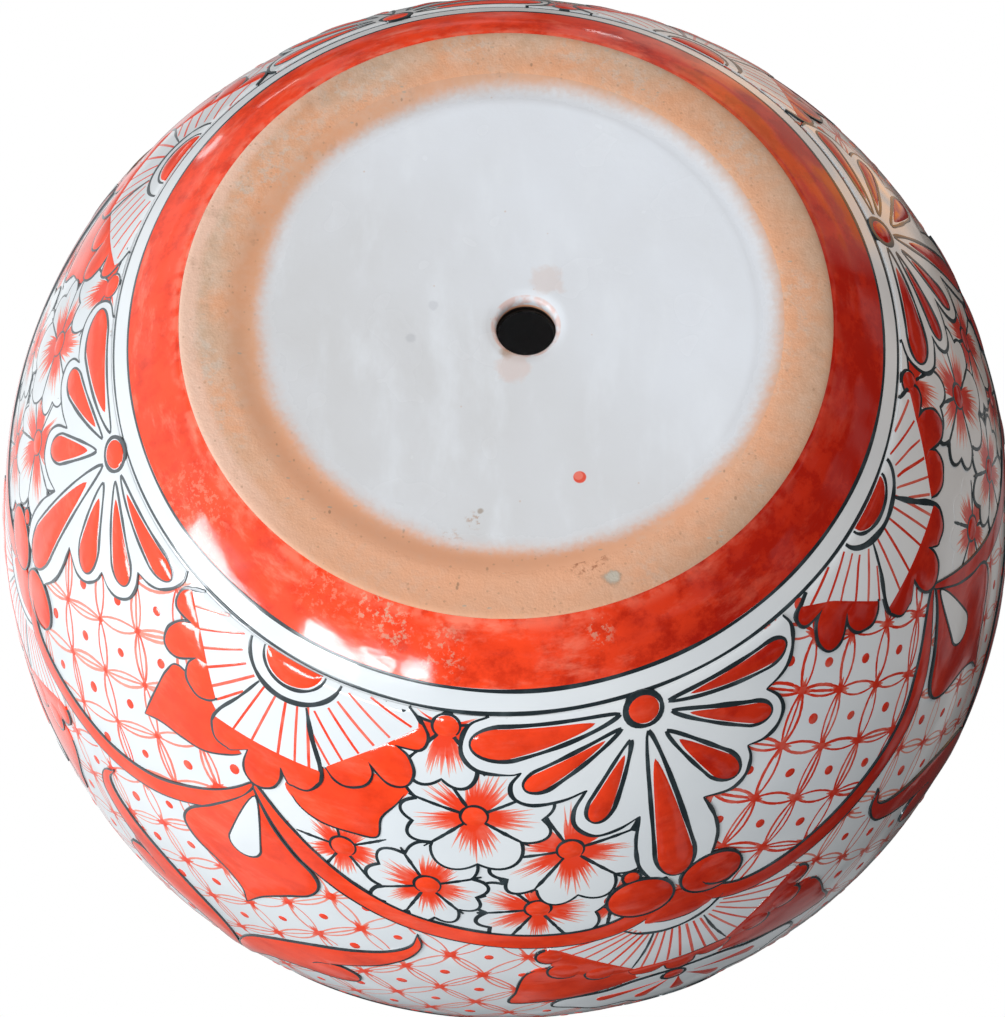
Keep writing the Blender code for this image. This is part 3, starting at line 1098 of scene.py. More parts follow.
@dataclass(frozen=True)
class BaseGlaze:
    """White glaze sprayed on the base, which fades into the bare clay round it, with a painted sheen
    towards +Y and -X and painted shade on that side of the recess's slope.
    """

    name: str = "sprayed base glaze"
    # Paler, bluer glaze for random clouding and for the painted sheen towards +Y and -X.
    pale: Colour = (0.80, 0.83, 0.88)
    grey: Colour = (0.655, 0.655, 0.66)
    # The thin glaze where the coat fades, darkened as painted shade on the recess's slope.
    fringe_and_shade: Colour = (0.69, 0.60, 0.57)
    streaks: Colour = (0.83, 0.86, 0.90)
    # Dark colour for painted shade on the recess's slope towards +Y and -X.
    slope_shade: Colour = (0.34, 0.28, 0.25)
    thin: Colour = (0.70, 0.40, 0.32)
    middle: Spot = Terracotta.middle
    fade_start: float = 0.0800
    fade_end: float = 0.0915
    hole: Spot = (-0.0066, -0.0036, 0.0)
    hole_rim: float = 0.0108
    marks: tuple[Mark, ...] = (
        Mark(-0.0002, -0.0132, 0.0035, (0.42, 0.25, 0.15), 0.7, 0.6),
        Mark(-0.0022, -0.0190, 0.0070, (0.72, 0.60, 0.565), 0.7),
        Mark(-0.0137, 0.0133, 0.0070, (0.72, 0.62, 0.59), 0.6),
        Mark(0.0314, -0.0082, 0.0022, (0.42, 0.43, 0.46), 0.35),
        Mark(0.0241, 0.0039, 0.0022, (0.50, 0.51, 0.55), 0.35),
        Mark(0.0084, -0.0703, 0.0012, (0.40, 0.32, 0.26), 0.8, 0.8),
        Mark(0.0100, -0.0735, 0.0040, (0.50, 0.33, 0.24), 0.7, speckled=True),
        Mark(0.0180, -0.0810, 0.0060, (0.55, 0.36, 0.26), 0.6, speckled=True),
        Mark(-0.0262, -0.0860, 0.0085, (0.36, 0.13, 0.06), 0.8, speckled=True),
        Mark(-0.0238, -0.0583, 0.0023, (0.80, 0.10, 0.06), 1.0, 0.04),
        # Painted highlight: a lighter centre on the red drip.
        Mark(-0.0234, -0.0578, 0.0016, (0.90, 0.24, 0.18), 0.8, 0.04),
    )

    def material(self) -> bpy.types.Material:
        """Make the material.

        Returns:
            The material.
        """
        graph = Graph(self.name)
        radius = graph.distance(self.middle)
        ragged = radius + (graph.noise(40, 3) - 0.5) * 0.0045 + (graph.noise(520, 3) - 0.5) * 0.0035
        fade = graph.ramp(ragged, self.fade_start, self.fade_end)
        # Painted sheen: the glaze turns paler and bluer towards +Y and -X, mixed with random clouding.
        light_slant = graph.axis(1) - graph.axis(0)
        shade = graph.ramp(light_slant, 0.07, -0.05) * 0.65 + (graph.noise(24, 4) - 0.35) * 0.8
        colour = graph.blend(shade, self.pale, self.grey)
        wiped = graph.ramp(graph.noise(70, 4, (1.0, 0.35, 1.0), 0.6), 0.46, 0.80)
        colour = graph.blend(wiped * 0.6, colour, self.streaks)
        colour = graph.blend(graph.specks(210, 0.10, 0.08) * 0.4, colour, DUST)
        rim = graph.ramp(graph.distance(self.hole), self.hole_rim + 0.0010, self.hole_rim + 0.0004)
        rim = rim * graph.ramp(graph.noise(300, 3), 0.35, 0.6) * 0.6
        colour = graph.blend(rim, colour, self.thin)
        for mark in self.marks:
            colour = mark.over(graph, colour)
        # Thin glaze where the coat fades, darkened to paint shade on the recess's slope.
        colour = graph.blend(graph.ramp(fade, 0.0, 0.45) * 0.8, colour, self.fringe_and_shade)
        colour = graph.blend(graph.ramp(fade, 0.25, 0.95), colour, Terracotta().colour(graph))
        # Painted shade on the recess's slope towards +Y and -X, where the slope faces the lamps.
        slope_shade = graph.ramp(radius, 0.0775, 0.083) * graph.ramp(light_slant, -0.02, 0.09) * 0.22
        colour = BoreShade().over(graph, graph.blend(slope_shade, colour, self.slope_shade))
        swell = graph.noise(60, 3) + graph.noise(300, 2) * 0.3
        return graph.dress(Base_Color=colour, Roughness=0.20 + graph.noise(40, 2) * 0.12 + fade * 0.5,
                           Normal=graph.bump(swell, 0.2, 0.0008))


@dataclass
class Palette:
    """The finishes that the pieces share."""

    terracotta: bpy.types.Material = field(default_factory=lambda: Terracotta().material())
    white: bpy.types.Material = field(default_factory=lambda: WhiteGlaze().material())
    base: bpy.types.Material = field(default_factory=lambda: BaseGlaze().material())
    red: bpy.types.Material = field(default_factory=lambda: RedEnamel().material())
    foot: bpy.types.Material = field(default_factory=lambda: FOOT_ENAMEL.material())
    black: bpy.types.Material = field(default_factory=lambda: BlackEnamel().material())
    wash: bpy.types.Material = field(default_factory=lambda: RedWash().material())


def fit(mesh: SurfaceMesh, name: str, material: bpy.types.Material, slot: Slot,
        *nodes: str) -> bpy.types.Object:
    """Make a piece, dress it and set it on the part.

    Args:
        mesh: its shapes.
        name: its name.
        material: its finish.
        slot: slot of the record that the finish belongs to; not used.
        nodes: solids that it stands for.

    Returns:
        The piece.
    """
    piece = mesh.build(name)
    piece.data.materials.append(material)
    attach(piece, "root")
    if nodes:
        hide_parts(*nodes)
    LOG.info("%s: %d faces", name, len(piece.data.polygons))
    return piece


# Clay and coats


@dataclass
class ClayVessel:
    """The turned clay, bare on its standing ring."""

    surface: PotSurface
    palette: Palette
    steps: int = 240
    spacing: float = 0.0035
    fine_spacing: float = 0.0007

    def build(self) -> None:
        """Make the clay, with closer rows over the recess's slope and the standing ring."""
        way = self.surface.way
        ways = np.linspace(way[0], way[-1], round((way[-1] - way[0]) / self.spacing), endpoint=False)
        fine = np.arange(self.surface.marks["slope"] - 0.002, 0.003, self.fine_spacing)
        mesh = SurfaceMesh(self.surface)
        mesh.loop(np.unique(np.concatenate((ways, fine))), 0.0, self.steps)
        fit(mesh, "clay_vessel", self.palette.terracotta, Slot.TERRACOTTA, "clay_body")


@dataclass
class WhiteCoats:
    """White glaze outside, inside and under the base."""

    surface: PotSurface
    palette: Palette
    thickness: float = 0.0010
    back: float = 0.0002
    steps: int = 300
    spacing: float = 0.004
    outside_start: float = 0.0236
    lap: float = 0.004
    base_back: float = -0.0006
    base_height: float = 0.0009
    base_sink: float = 0.00004
    hole_height: float = 0.0001
    hole_run: float = 0.004
    base_steps: int = 240

    def build(self) -> None:
        """Make the three coats."""
        marks = self.surface.marks
        ground = SurfaceMesh(self.surface)
        outside = self._rows(self.outside_start, marks["crease"] + self.lap)
        ground.coat(outside, self._even, self.back, self.steps)
        fit(ground, "white_ground", self.palette.white, Slot.WHITE, "body_glaze", "white_band_glaze")
        inside = SurfaceMesh(self.surface)
        down = self._rows(marks["lip_inner"] - self.lap, marks["floor_hole"])
        inside.coat(down, self._even, self.back, self.steps)
        fit(inside, "inside_coat", self.palette.white, Slot.WHITE, "inside_glaze")
        base = SurfaceMesh(self.surface)
        rows = np.concatenate((np.arange(marks["hole"] + 0.0005, marks["base"] + 0.003, 0.0005),
                               np.arange(marks["base"] + 0.004, marks["slope"], 0.003),
                               np.arange(marks["slope"], marks["ring"] - 0.0004, 0.0006)))
        base.coat(rows, self._base_top, self.base_back, self.base_steps)
        fit(base, "base_coat", self.palette.base, Slot.WHITE, "base_glaze")

    def _rows(self, first: float, last: float) -> Array:
        """Distances along the outline from first to last."""
        return np.linspace(first, last, round((last - first) / self.spacing) + 1)

    def _even(self, theta: Array, way: Array) -> Array:
        """A coat of even thickness."""
        return np.full(len(theta), self.thickness)

    def _base_top(self, theta: Array, way: Array) -> Array:
        """The base's coat, which thins out in the hole and runs into the clay up the slope.

        Args:
            theta: angles round the axis; not used.
            way: distances along the outline.

        Returns:
            Heights above the clay.
        """
        marks = self.surface.marks
        share = np.clip((way - marks["slope"]) / (marks["ring"] - marks["slope"]), 0, 1)
        inward = np.clip((way - marks["base_flare"]) / self.hole_run, 0, 1)
        over_hole = self.hole_height + (self.base_height - self.hole_height) * inward
        return np.minimum(self.base_height * (1 - share) ** 2 - self.base_sink, over_hole)


def brush_load(theta: Array, loss: float = 0.34) -> Array:
    """Share of a dark line's full width round the pot, on one side of which the brush ran dry."""
    return 1 - loss * np.maximum(0, -np.sin(theta))


@dataclass
class Bands:
    """Red bands at the foot and the lip, and the dark lines beside them."""

    surface: PotSurface
    palette: Palette
    ground: float = 0.0010
    foot_start: float = 0.0007
    foot_top: float = 0.0249
    lower_line: float = 0.0247
    upper_line: float = 0.0327
    line_width: float = 0.0016
    line_height: float = 0.00006
    lower_ground: float = 0.00108
    back: float = 0.0001
    foot_rows: int = 34
    foot_heights: Pair = (0.00035, 0.00108)
    foot_swell: float = 0.55
    lip_rows: int = 44
    lip_heights: Pair = (0.0006, 0.0013)
    lip_gap: float = 0.003
    steps: int = 360
    drifts: tuple[Spot, ...] = ((2, 0.3, 0.0002), (5, 1.7, 0.00018), (11, 0.9, 0.0001))
    jags: tuple[int, ...] = (13, 29, 47, 71)

    def build(self) -> None:
        """Make the bands and lines."""
        marks = self.surface.marks
        foot = SurfaceMesh(self.surface)
        foot_ways = np.linspace(self.foot_start, self.foot_top, self.foot_rows)
        foot.coat(foot_ways, self._foot_top, self.back, self.steps)
        fit(foot, "red_foot_band", self.palette.foot, Slot.RED, "foot_band_glaze")
        lip = SurfaceMesh(self.surface)
        lip_ways = np.linspace(marks["crease"] + 0.0015, marks["lip_inner"] + 0.002, self.lip_rows)
        lip.coat(lip_ways, self._lip_top, self.back, self.steps)
        fit(lip, "red_lip_band", self.palette.red, Slot.RED, "lip_band_glaze")
        lines = (
            ("lower_line", self.lower_line, self.lower_ground, "lower_line_enamel"),
            ("upper_line", self.upper_line, self.ground, "upper_line_enamel"),
            ("lip_line", self.lip_line, self.ground, "lip_line_enamel"),
        )
        for number, (name, way, lift, node) in enumerate(lines):
            mesh = SurfaceMesh(self.surface)
            mesh.stroke(self._round(way, number), self.line_width, self.line_height, lift, (1, 1),
                        wave=self._hand(number))
            fit(mesh, name, self.palette.black, Slot.BLACK, node)

    @property
    def lip_line(self) -> float:
        """Distance along the outline of the line under the lip."""
        return self.surface.marks["crease"] - self.lip_gap

    def _foot_top(self, theta: Array, way: Array) -> Array:
        """Face of the foot's band, which thins to a ragged edge at the foot.

        Args:
            theta: angles round the axis.
            way: distances along the outline.

        Returns:
            Heights above the clay.
        """
        jag = sum(np.sin(turns * theta + turns) for turns in self.jags) * 0.00015
        inner = (way - self.foot_start - jag - 0.0004) / 0.0014
        outer = np.clip((self.foot_top - way) / 0.0006, 0, 1)
        share = (way - self.foot_start) / (self.foot_top - self.foot_start) / self.foot_swell
        thin, thick = self.foot_heights
        full = thin + (thick - thin) * ease(np.clip(share, 0, 1))
        rise = np.minimum(1 - (1 - np.clip(inner, 0, 1)) ** 2, np.sqrt(1 - (1 - outer) ** 2))
        return np.where(inner < 0, 0.0004 * np.maximum(inner, -1), full * rise)

    def _lip_top(self, theta: Array, way: Array) -> Array:
        """Face of the lip's band, rounded along both edges."""
        rim = np.clip(np.minimum(way - way.min(), way.max() - way) / 0.0012, 0, 1)
        thin, thick = self.lip_heights
        return thin + (thick - thin) * np.sqrt(1 - (1 - rim) ** 2)

    def _round(self, way: float, number: int) -> Array:
        """A line right round the pot, as an unsteady hand draws it.

        Args:
            way: its distance along the outline.
            number: number of the line, so that no two waver alike.

        Returns:
            Angles and distances.
        """
        theta = np.linspace(-math.pi, math.pi, self.steps + 1)
        drift = sum(size * np.sin(turns * theta + phase + number) for turns, phase, size in self.drifts)
        return np.column_stack((theta, way + drift))

    def _hand(self, number: int) -> Array:
        """Shares of its full width that such a line has round the pot."""
        theta = np.linspace(-math.pi, math.pi, self.steps + 1)
        waver = 0.16 * np.sin(7 * theta + number) + 0.12 * np.sin(17 * theta + 2 * number)
        return brush_load(theta) * (1 + waver)


# Painted ornament


class Layer:
    """Heights in metres: of the layers of paint above the clay, and then of paint on a motif."""

    LATTICE = 0.00100
    BACK_FLOWER = 0.00105
    LEAF = 0.00112
    FLOWER = 0.00122
    FLOWER_STEP = 0.00006
    MOTIF = 0.00156
    SWAG = 0.00158
    VOLUTE = 0.00168
    DETAIL = 0.00006
    OUTLINE = 0.00008
    WASH = 0.00004


class Family:
    """Meshes of one family of motifs, one for each finish."""

    def __init__(self, surface: PotSurface, name: str) -> None:
        """Start a family with nothing drawn."""
        self.name = name
        self.white = SurfaceMesh(surface)
        self.red = SurfaceMesh(surface)
        self.wash = SurfaceMesh(surface)
        self.black = SurfaceMesh(surface)

    def fit(self, palette: Palette) -> None:
        """Make the family's pieces."""
        finishes = (
            ("white", self.white, palette.white, Slot.WHITE),
            ("red", self.red, palette.red, Slot.RED),
            ("strokes", self.wash, palette.wash, Slot.RED),
            ("outlines", self.black, palette.black, Slot.BLACK),
        )
        for suffix, mesh, material, slot in finishes:
            if mesh.count:
                fit(mesh, f"{self.name}_{suffix}", material, slot)


@dataclass(frozen=True)
class Chart:
    """Where a motif's millimetres lie: across from a column, and away from a hem."""

    surface: PotSurface
    column: float
    hem: float
    way: int = 1
    reach: Pair = (1.0, 1.0)
    rise: float = 0.0
    rise_run: float = 14.0

    def along(self, depth: Array | float) -> Array | float:
        """Distance along the outline of distances from the hem in millimetres."""
        return self.hem + self.way * depth * MM

    def map(self, points: Sequence[Pair] | Array) -> Array:
        """Place a motif's points, drawn in by the reach and up by the rise.

        Args:
            points: points in millimetres.

        Returns:
            Angles and distances along the outline.
        """
        x, y = np.asarray(points, float).T
        place = self.along(y - self.rise * np.clip(y / self.rise_run, 0, 1))
        x = x * np.where(x < 0, *self.reach) * MM
        return np.column_stack((self.column + x / self.surface.radius(place), place))


def weave(count: int, rng: np.random.Generator, size: float = 0.16) -> Array:
    """Share of the width along a stroke that a hand draws, one value for each point.

    Args:
        count: number of points.
        rng: random numbers.
        size: how far the width strays.

    Returns:
        Shares of the width.
    """
    t = np.linspace(0, 1, count)
    phases = rng.uniform(0, 2 * math.pi, 3)
    waves = sum(np.sin((2.3 + 2.9 * k) * math.pi * t + phase) for k, phase in enumerate(phases))
    return 1 + size * waves / 1.6


@dataclass
class Brush:
    """Draws template shapes of a family on a chart."""

    family: Family
    chart: Chart
    rng: np.random.Generator
    rise: float = 0.00011
    white_edge: float = 0.0006
    red_edge: float = 0.0008
    drawn: int = 60

    @property
    def load(self) -> float:
        """Share of an outline's full width that the brush leaves at this column."""
        return float(brush_load(np.array(self.chart.column)))

    def line(self, points: Sequence[Pair] | Array, width: float, lift: float,
             ends: Pair = (0.45, 0.35), spacing: float = 1.6) -> None:
        """A dark outline stroke through points.

        Args:
            points: points in millimetres.
            width: width in millimetres.
            lift: height of what it lies on.
            ends: share of the width at its ends.
            spacing: distance between its points.
        """
        path = smooth(points, spacing) if len(points) < self.drawn else np.asarray(points)
        self.family.black.stroke(self.chart.map(path), width * self.load * MM, self.rise, lift, ends,
                                 wave=weave(len(path), self.rng))

    def around(self, points: Array, width: float, lift: float) -> None:
        """A dark outline round a closed shape."""
        path = np.vstack((points, points[:2]))
        self.family.black.stroke(self.chart.map(path), width * self.load * MM, self.rise, lift,
                                 (0.8, 0.8), wave=weave(len(path), self.rng))

    def wash(self, points: Sequence[Pair] | Array, width: float, lift: float,
             ink: Array | float = 1.0, ends: Pair = (0.5, 0.25), swell: float = 0.3,
             spacing: float = 2.2) -> None:
        """A thin red stroke through points.

        Args:
            points: points in millimetres.
            width: width in millimetres.
            lift: height of what it lies on.
            ink: colour along it.
            ends: share of the width at its ends.
            swell: share of the length over which it widens.
            spacing: distance between its points.
        """
        path = smooth(points, spacing)
        if isinstance(ink, Array):
            ink = np.interp(np.linspace(0, 1, len(path)), np.linspace(0, 1, len(ink)), ink)
        self.family.wash.stroke(self.chart.map(path), width * MM, Layer.WASH, lift, ends, ink,
                                Section.FINE, swell=swell)

    def ray(self, start: Sequence[float], end: Sequence[float], lift: float) -> None:
        """A ruled pink stroke between two points."""
        width, ink = float(self.rng.uniform(0.9, 1.2)), float(self.rng.uniform(0.7, 1.0))
        self.wash((start, end), width, lift, ink, (0.8, 0.9))

    def red(self, outline: Array, lift: float, height: float = 0.00014, crown: float = 0.00012,
            grain: float = 4.0) -> None:
        """A red field."""
        place = self.chart.map(outline)
        self.family.red.plate(place, height, lift, self.red_edge, crown, grain * MM)

    def white(self, outline: Array, lift: float, height: float = 0.00005) -> None:
        """A white field, which slopes to the ground beside the hem that its motif stands on."""
        hem = self.chart.hem if lift >= Layer.MOTIF else None
        self.family.white.plate(self.chart.map(outline), height, lift, self.white_edge, hem=hem)


@dataclass(frozen=True)
class HalfDaisy:
    """Half a daisy under the hem: a button, seven red petals and a scalloped white ground."""

    button: Pair = (0.1, 5.4)
    petals: tuple[tuple[Pair, Pair, float], ...] = (
        ((-7.8, 4.6), (-57.2, 12.0), 5.3),
        ((-8.4, 10.0), (-43.0, 28.0), 3.1),
        ((-6.3, 15.2), (-23.7, 44.8), 3.4),
        ((-0.1, 13.6), (1.6, 80.6), 5.8),
        ((5.8, 16.1), (26.8, 45.0), 4.2),
        ((8.9, 9.5), (42.8, 29.0), 3.3),
        ((8.6, 5.5), (53.2, 9.4), 3.3),
    )
    left: tuple[Curve, ...] = (
        ((-48.9, 0.3), (-55.4, 3.3), (-59.4, 8.6), (-60.8, 15.7), (-56.8, 21.0), (-47.0, 22.3),
         (-43.0, 21.4)),
        ((-43.0, 21.4), (-47.3, 26.3), (-47.4, 31.6), (-42.1, 34.8), (-32.0, 33.9), (-23.6, 31.0)),
        ((-23.6, 31.0), (-28.9, 38.6), (-29.6, 45.7), (-24.4, 51.1), (-16.3, 50.4), (-8.3, 46.9)),
        ((-8.3, 46.9), (-11.2, 58.9), (-11.3, 71.2), (-7.4, 80.0)),
    )
    right: tuple[Curve, ...] = (
        ((54.6, 0.3), (56.8, 5.0), (56.2, 10.5), (53.4, 15.6), (49.0, 18.4), (42.6, 19.7)),
        ((42.6, 19.7), (46.7, 25.1), (47.5, 30.8), (44.0, 35.5), (38.7, 37.1), (32.2, 36.0)),
        ((32.2, 36.0), (32.6, 41.3), (29.8, 47.1), (23.8, 50.1), (13.9, 48.2)),
        ((13.9, 48.2), (16.7, 57.9), (16.9, 67.6), (13.0, 78.6)),
    )
    waist: float = 0.64
    nose: float = 1.75
    bare: float = 0.17
    plump: float = 1.07
    margin: float = 0.8
    edge_line: float = 1.7
    petal_lines: Pair = (1.6, 1.9)
    button_radii: Pair = (5.1, 6.1)
    button_line: float = 2.3

    def draw(self, brush: Brush) -> None:
        """Draw the daisy.

        Args:
            brush: brush at the daisy's column.
        """
        lift = Layer.MOTIF
        left = [smooth(curve, 1.4) for curve in self.left]
        right = [smooth(curve, 1.4) for curve in self.right]
        ground = chain(*left, *[curve[::-1] for curve in reversed(right)])
        brush.white(ground, lift)
        for curve in left + right:
            brush.line(curve, self.edge_line, lift)
        top = lift + Layer.DETAIL
        for tip, end, radius in self.petals:
            start = np.asarray(tip) + self.bare * (np.asarray(end) - np.asarray(tip))
            wide = radius * self.plump
            brush.red(teardrop(start, end, wide, self.waist, self.nose), top, crown=0.0004, grain=3.0)
            halo = teardrop(tip, end, wide + self.margin, self.waist, self.nose)
            half = len(halo) // 2
            brush.line(halo[:half + 5], self.petal_lines[0], top, (0.9, 0.3))
            brush.line(np.vstack((halo[:1], halo[:half - 3:-1])), self.petal_lines[1], top, (0.9, 0.5))
        disc, ring = self.button_radii
        brush.red(ellipse(self.button, disc, disc, count=20), top, crown=0.0005, grain=2.0)
        brush.around(ellipse(self.button, ring, ring, count=26), self.button_line, top)


@dataclass(frozen=True)
class Fan:
    """A fan under the hem: a red half-disc, three ruled sectors and red scallops."""

    disc: Pair = (10.6, 8.8)
    arcs: tuple[tuple[float, float, float], ...] = ((11.8, 9.9, 1.7), (17.4, 14.6, 2.5))
    left_rise: float = 2.4
    cuts: tuple[float, ...] = (0.0, 0.32, 0.66, 1.0)
    scallop_line: float = 2.1
    sector_lines: Pair = (2.5, 1.8)
    drop_line: float = 2.1
    leaf_line: float = 1.1
    leaf_ink: float = 0.0001
    scallops: tuple[Curve, ...] = (
        ((40.0, 0.3), (46.0, 5.6), (49.4, 10.6), (48.4, 15.4), (40.4, 15.6)),
        ((40.4, 15.6), (45.6, 19.0), (49.2, 25.0), (48.4, 30.6), (42.4, 31.0), (34.4, 25.0)),
        ((34.4, 25.0), (36.8, 29.6), (35.6, 34.6), (30.2, 37.4), (25.6, 36.2), (21.8, 33.0)),
    )
    diagonals: tuple[Curve, ...] = (
        ((22.0, 32.4), (27.0, 26.8), (36.0, 17.6), (45.4, 7.4)),
        ((22.0, 31.6), (29.6, 21.6), (36.0, 13.4), (45.0, 3.6)),
    )
    centre: Curve = (
        (9.2, 13.8), (14.2, 23.8), (19.8, 33.4), (21.4, 39.8), (18.2, 45.6), (11.6, 46.2))
    drop: Curve = (
        (7.6, 41.5), (8.3, 46.5), (7.0, 51.0), (4.0, 53.6), (1.4, 54.3), (-1.2, 53.7), (-4.0, 51.4),
        (-5.4, 47.0), (-5.2, 41.5))
    band: tuple[Pair, Pair] = ((-20.6, 37.6), (20.6, 35.6))
    side_rays: tuple[tuple[Pair, Pair], ...] = (
        ((27.5, 0.5), (43.0, 7.4)), ((20.0, 1.6), (38.0, 13.0)), ((18.4, 6.8), (34.4, 18.4)),
        ((15.8, 10.5), (30.2, 23.4)), ((11.9, 13.2), (26.2, 28.0)), ((13.6, 21.0), (22.2, 31.2)))
    centre_rays: Curve = ((-6.6, -12.8), (-1.9, -5.0), (2.0, 5.2), (6.0, 11.4), (9.4, 16.6))
    leaf: Curve = (
        (10.5, 46.0), (16.4, 53.6), (25.4, 57.4), (36.7, 57.4), (45.0, 56.0), (44.4, 47.0),
        (47.8, 39.0), (49.6, 31.4), (38.0, 29.3), (23.3, 32.8))
    pointed_leaf: tuple[Curve, ...] = (
        ((7.5, 45.6), (10.7, 48.6), (21.0, 54.9), (31.2, 57.0), (41.5, 58.6), (49.4, 62.2)),
        ((49.4, 62.2), (48.2, 54.0), (46.8, 46.0), (45.0, 37.5), (40.6, 31.4), (25.0, 33.0)),
    )

    def draw(self, brush: Brush, leaves: bool = True) -> None:
        """Draw the fan.

        Args:
            brush: brush at the fan's column.
            leaves: whether red leaves show behind it.
        """
        lift, top = Layer.MOTIF, Layer.MOTIF + Layer.DETAIL
        halves = [chain(*[self._turned(curve, side) for curve in self.scallops],
                        smooth(self.centre[2:], 1.4) * (side, 1)) for side in (1, -1)]
        brush.white(chain(halves[0], smooth(self.drop, 1.4), halves[1][::-1]), lift)
        if leaves:
            self._leaves(brush)
        for side in (1, -1):
            self._side(brush, top, side)
        self._middle(brush, top)
        brush.red(ellipse((0, 0.3), *self.disc, 0, 180, 16), top, crown=0.0004, grain=3.0)
        for wide, deep, width in self.arcs:
            brush.line(ellipse((0, 0.2), wide, deep, 2, 178, 24), width, top, (0.6, 0.6))

    def _turned(self, curve: Sequence[Pair], side: int) -> Array:
        """Smooth curve of one side; those on the left sit a little nearer the hem."""
        path = smooth(curve, 1.3) * (side, 1)
        return path - (0, self.left_rise * (side < 0)) * np.clip(path[:, 1:] / 8, 0, 1)

    def _side(self, brush: Brush, top: float, side: int) -> None:
        """One side sector: rays, three red scallops and their outlines.

        Args:
            brush: brush at the fan's column.
            top: height of what it lies on.
            side: 1 on the right and -1 on the left.
        """
        turn = np.array((side, 1))
        diagonal = self.diagonals[0 if side > 0 else 1]
        high, low = np.asarray(diagonal[-1]), np.asarray(diagonal[0])
        inner = smooth(diagonal, 1.4)[::-1]
        at = (inner - high) @ (low - high) / ((low - high) @ (low - high))
        for number, curve in enumerate(self.scallops):
            outer = self._turned(curve, side)
            first, last = self.cuts[number:number + 2]
            piece = inner[(at >= first - 0.02) & (at <= last + 0.02)] * turn
            brush.red(chain(outer[4 if number == 0 else 0:], piece[::-1]), top, crown=0.00025, grain=2.5)
            brush.line(outer, self.scallop_line, top, (0.5, 0.7))
        for ray in self.side_rays:
            start, end = (np.asarray(point) + brush.rng.uniform(-0.5, 0.5, 2) for point in ray)
            brush.ray(start * turn, end * turn, top)

    def _middle(self, brush: Brush, top: float) -> None:
        """The middle sector: rays, a red band with three lobes and their outline.

        Args:
            brush: brush at the fan's column.
            top: height of what it lies on.
        """
        drop = smooth(self.drop, 1.3)
        lobe = smooth(self.centre[3:], 1.3)
        left, right = np.array(self.band[:1]), np.array(self.band[1:])
        lobes = chain(right, lobe, drop, (lobe * (-1, 1))[::-1], left)
        brush.red(lobes, top, crown=0.0002, grain=3.0)
        side = smooth(self.centre, 1.3)
        brush.line(chain(side, drop[:1]), self.sector_lines[0], top)
        brush.line(chain(side * (-1, 1), drop[-1:]), self.sector_lines[1], top)
        brush.line(drop, self.drop_line, top, (0.9, 0.5))
        for near, far in self.centre_rays:
            brush.ray((near, 15.2 - 0.03 * near * near), (far, 36.8 - 0.05 * far), top)

    def _leaves(self, brush: Brush) -> None:
        """A red leaf behind either side.

        Args:
            brush: brush at the fan's column.
        """
        lift = Layer.LEAF + self.leaf_ink
        brush.red(smooth(self.leaf, 1.8, True), Layer.LEAF)
        brush.line(smooth(self.leaf[:8], 1.6), self.leaf_line, lift)
        low, high = (smooth(curve, 1.8) * (-1, 1) for curve in self.pointed_leaf)
        brush.red(chain(low, high), Layer.LEAF)
        for edge in (low, high[:-6]):
            brush.line(edge, self.leaf_line, lift)


@dataclass(frozen=True)
class Tulip:
    """A red tulip with a white drop, hung from a fan's tip."""

    right: Curve = (
        (0.6, 57.0), (4.6, 62.5), (11.0, 70.6), (19.6, 79.0), (27.6, 85.4), (30.6, 91.8), (28.0, 98.8),
        (20.3, 104.9), (11.6, 113.4), (5.6, 123.4))
    left: Curve = (
        (5.6, 123.4), (3.6, 115.4), (-1.6, 109.2), (-7.6, 105.5), (-17.1, 101.3), (-22.4, 95.1),
        (-20.9, 87.1), (-12.6, 76.6), (-3.4, 64.2), (0.6, 57.0))
    drop: tuple[Pair, Pair, float] = ((1.8, 59.4), (2.2, 92.0), 6.2)
    drop_lift: float = 0.00042
    drop_line: float = 1.2
    edge_line: float = 1.5

    def draw(self, brush: Brush) -> None:
        """Draw the tulip.

        Args:
            brush: brush at the fan's column.
        """
        lift = Layer.MOTIF
        right, left = smooth(self.right, 1.6), smooth(self.left, 1.6)
        brush.red(chain(right, left)[:-1], lift)
        for edge in (right, left):
            brush.line(edge, self.edge_line, lift + Layer.OUTLINE)
        drop = teardrop(*self.drop, waist=0.62)
        brush.white(drop, lift + self.drop_lift)
        brush.around(drop, self.drop_line, lift + self.drop_lift - Layer.WASH)


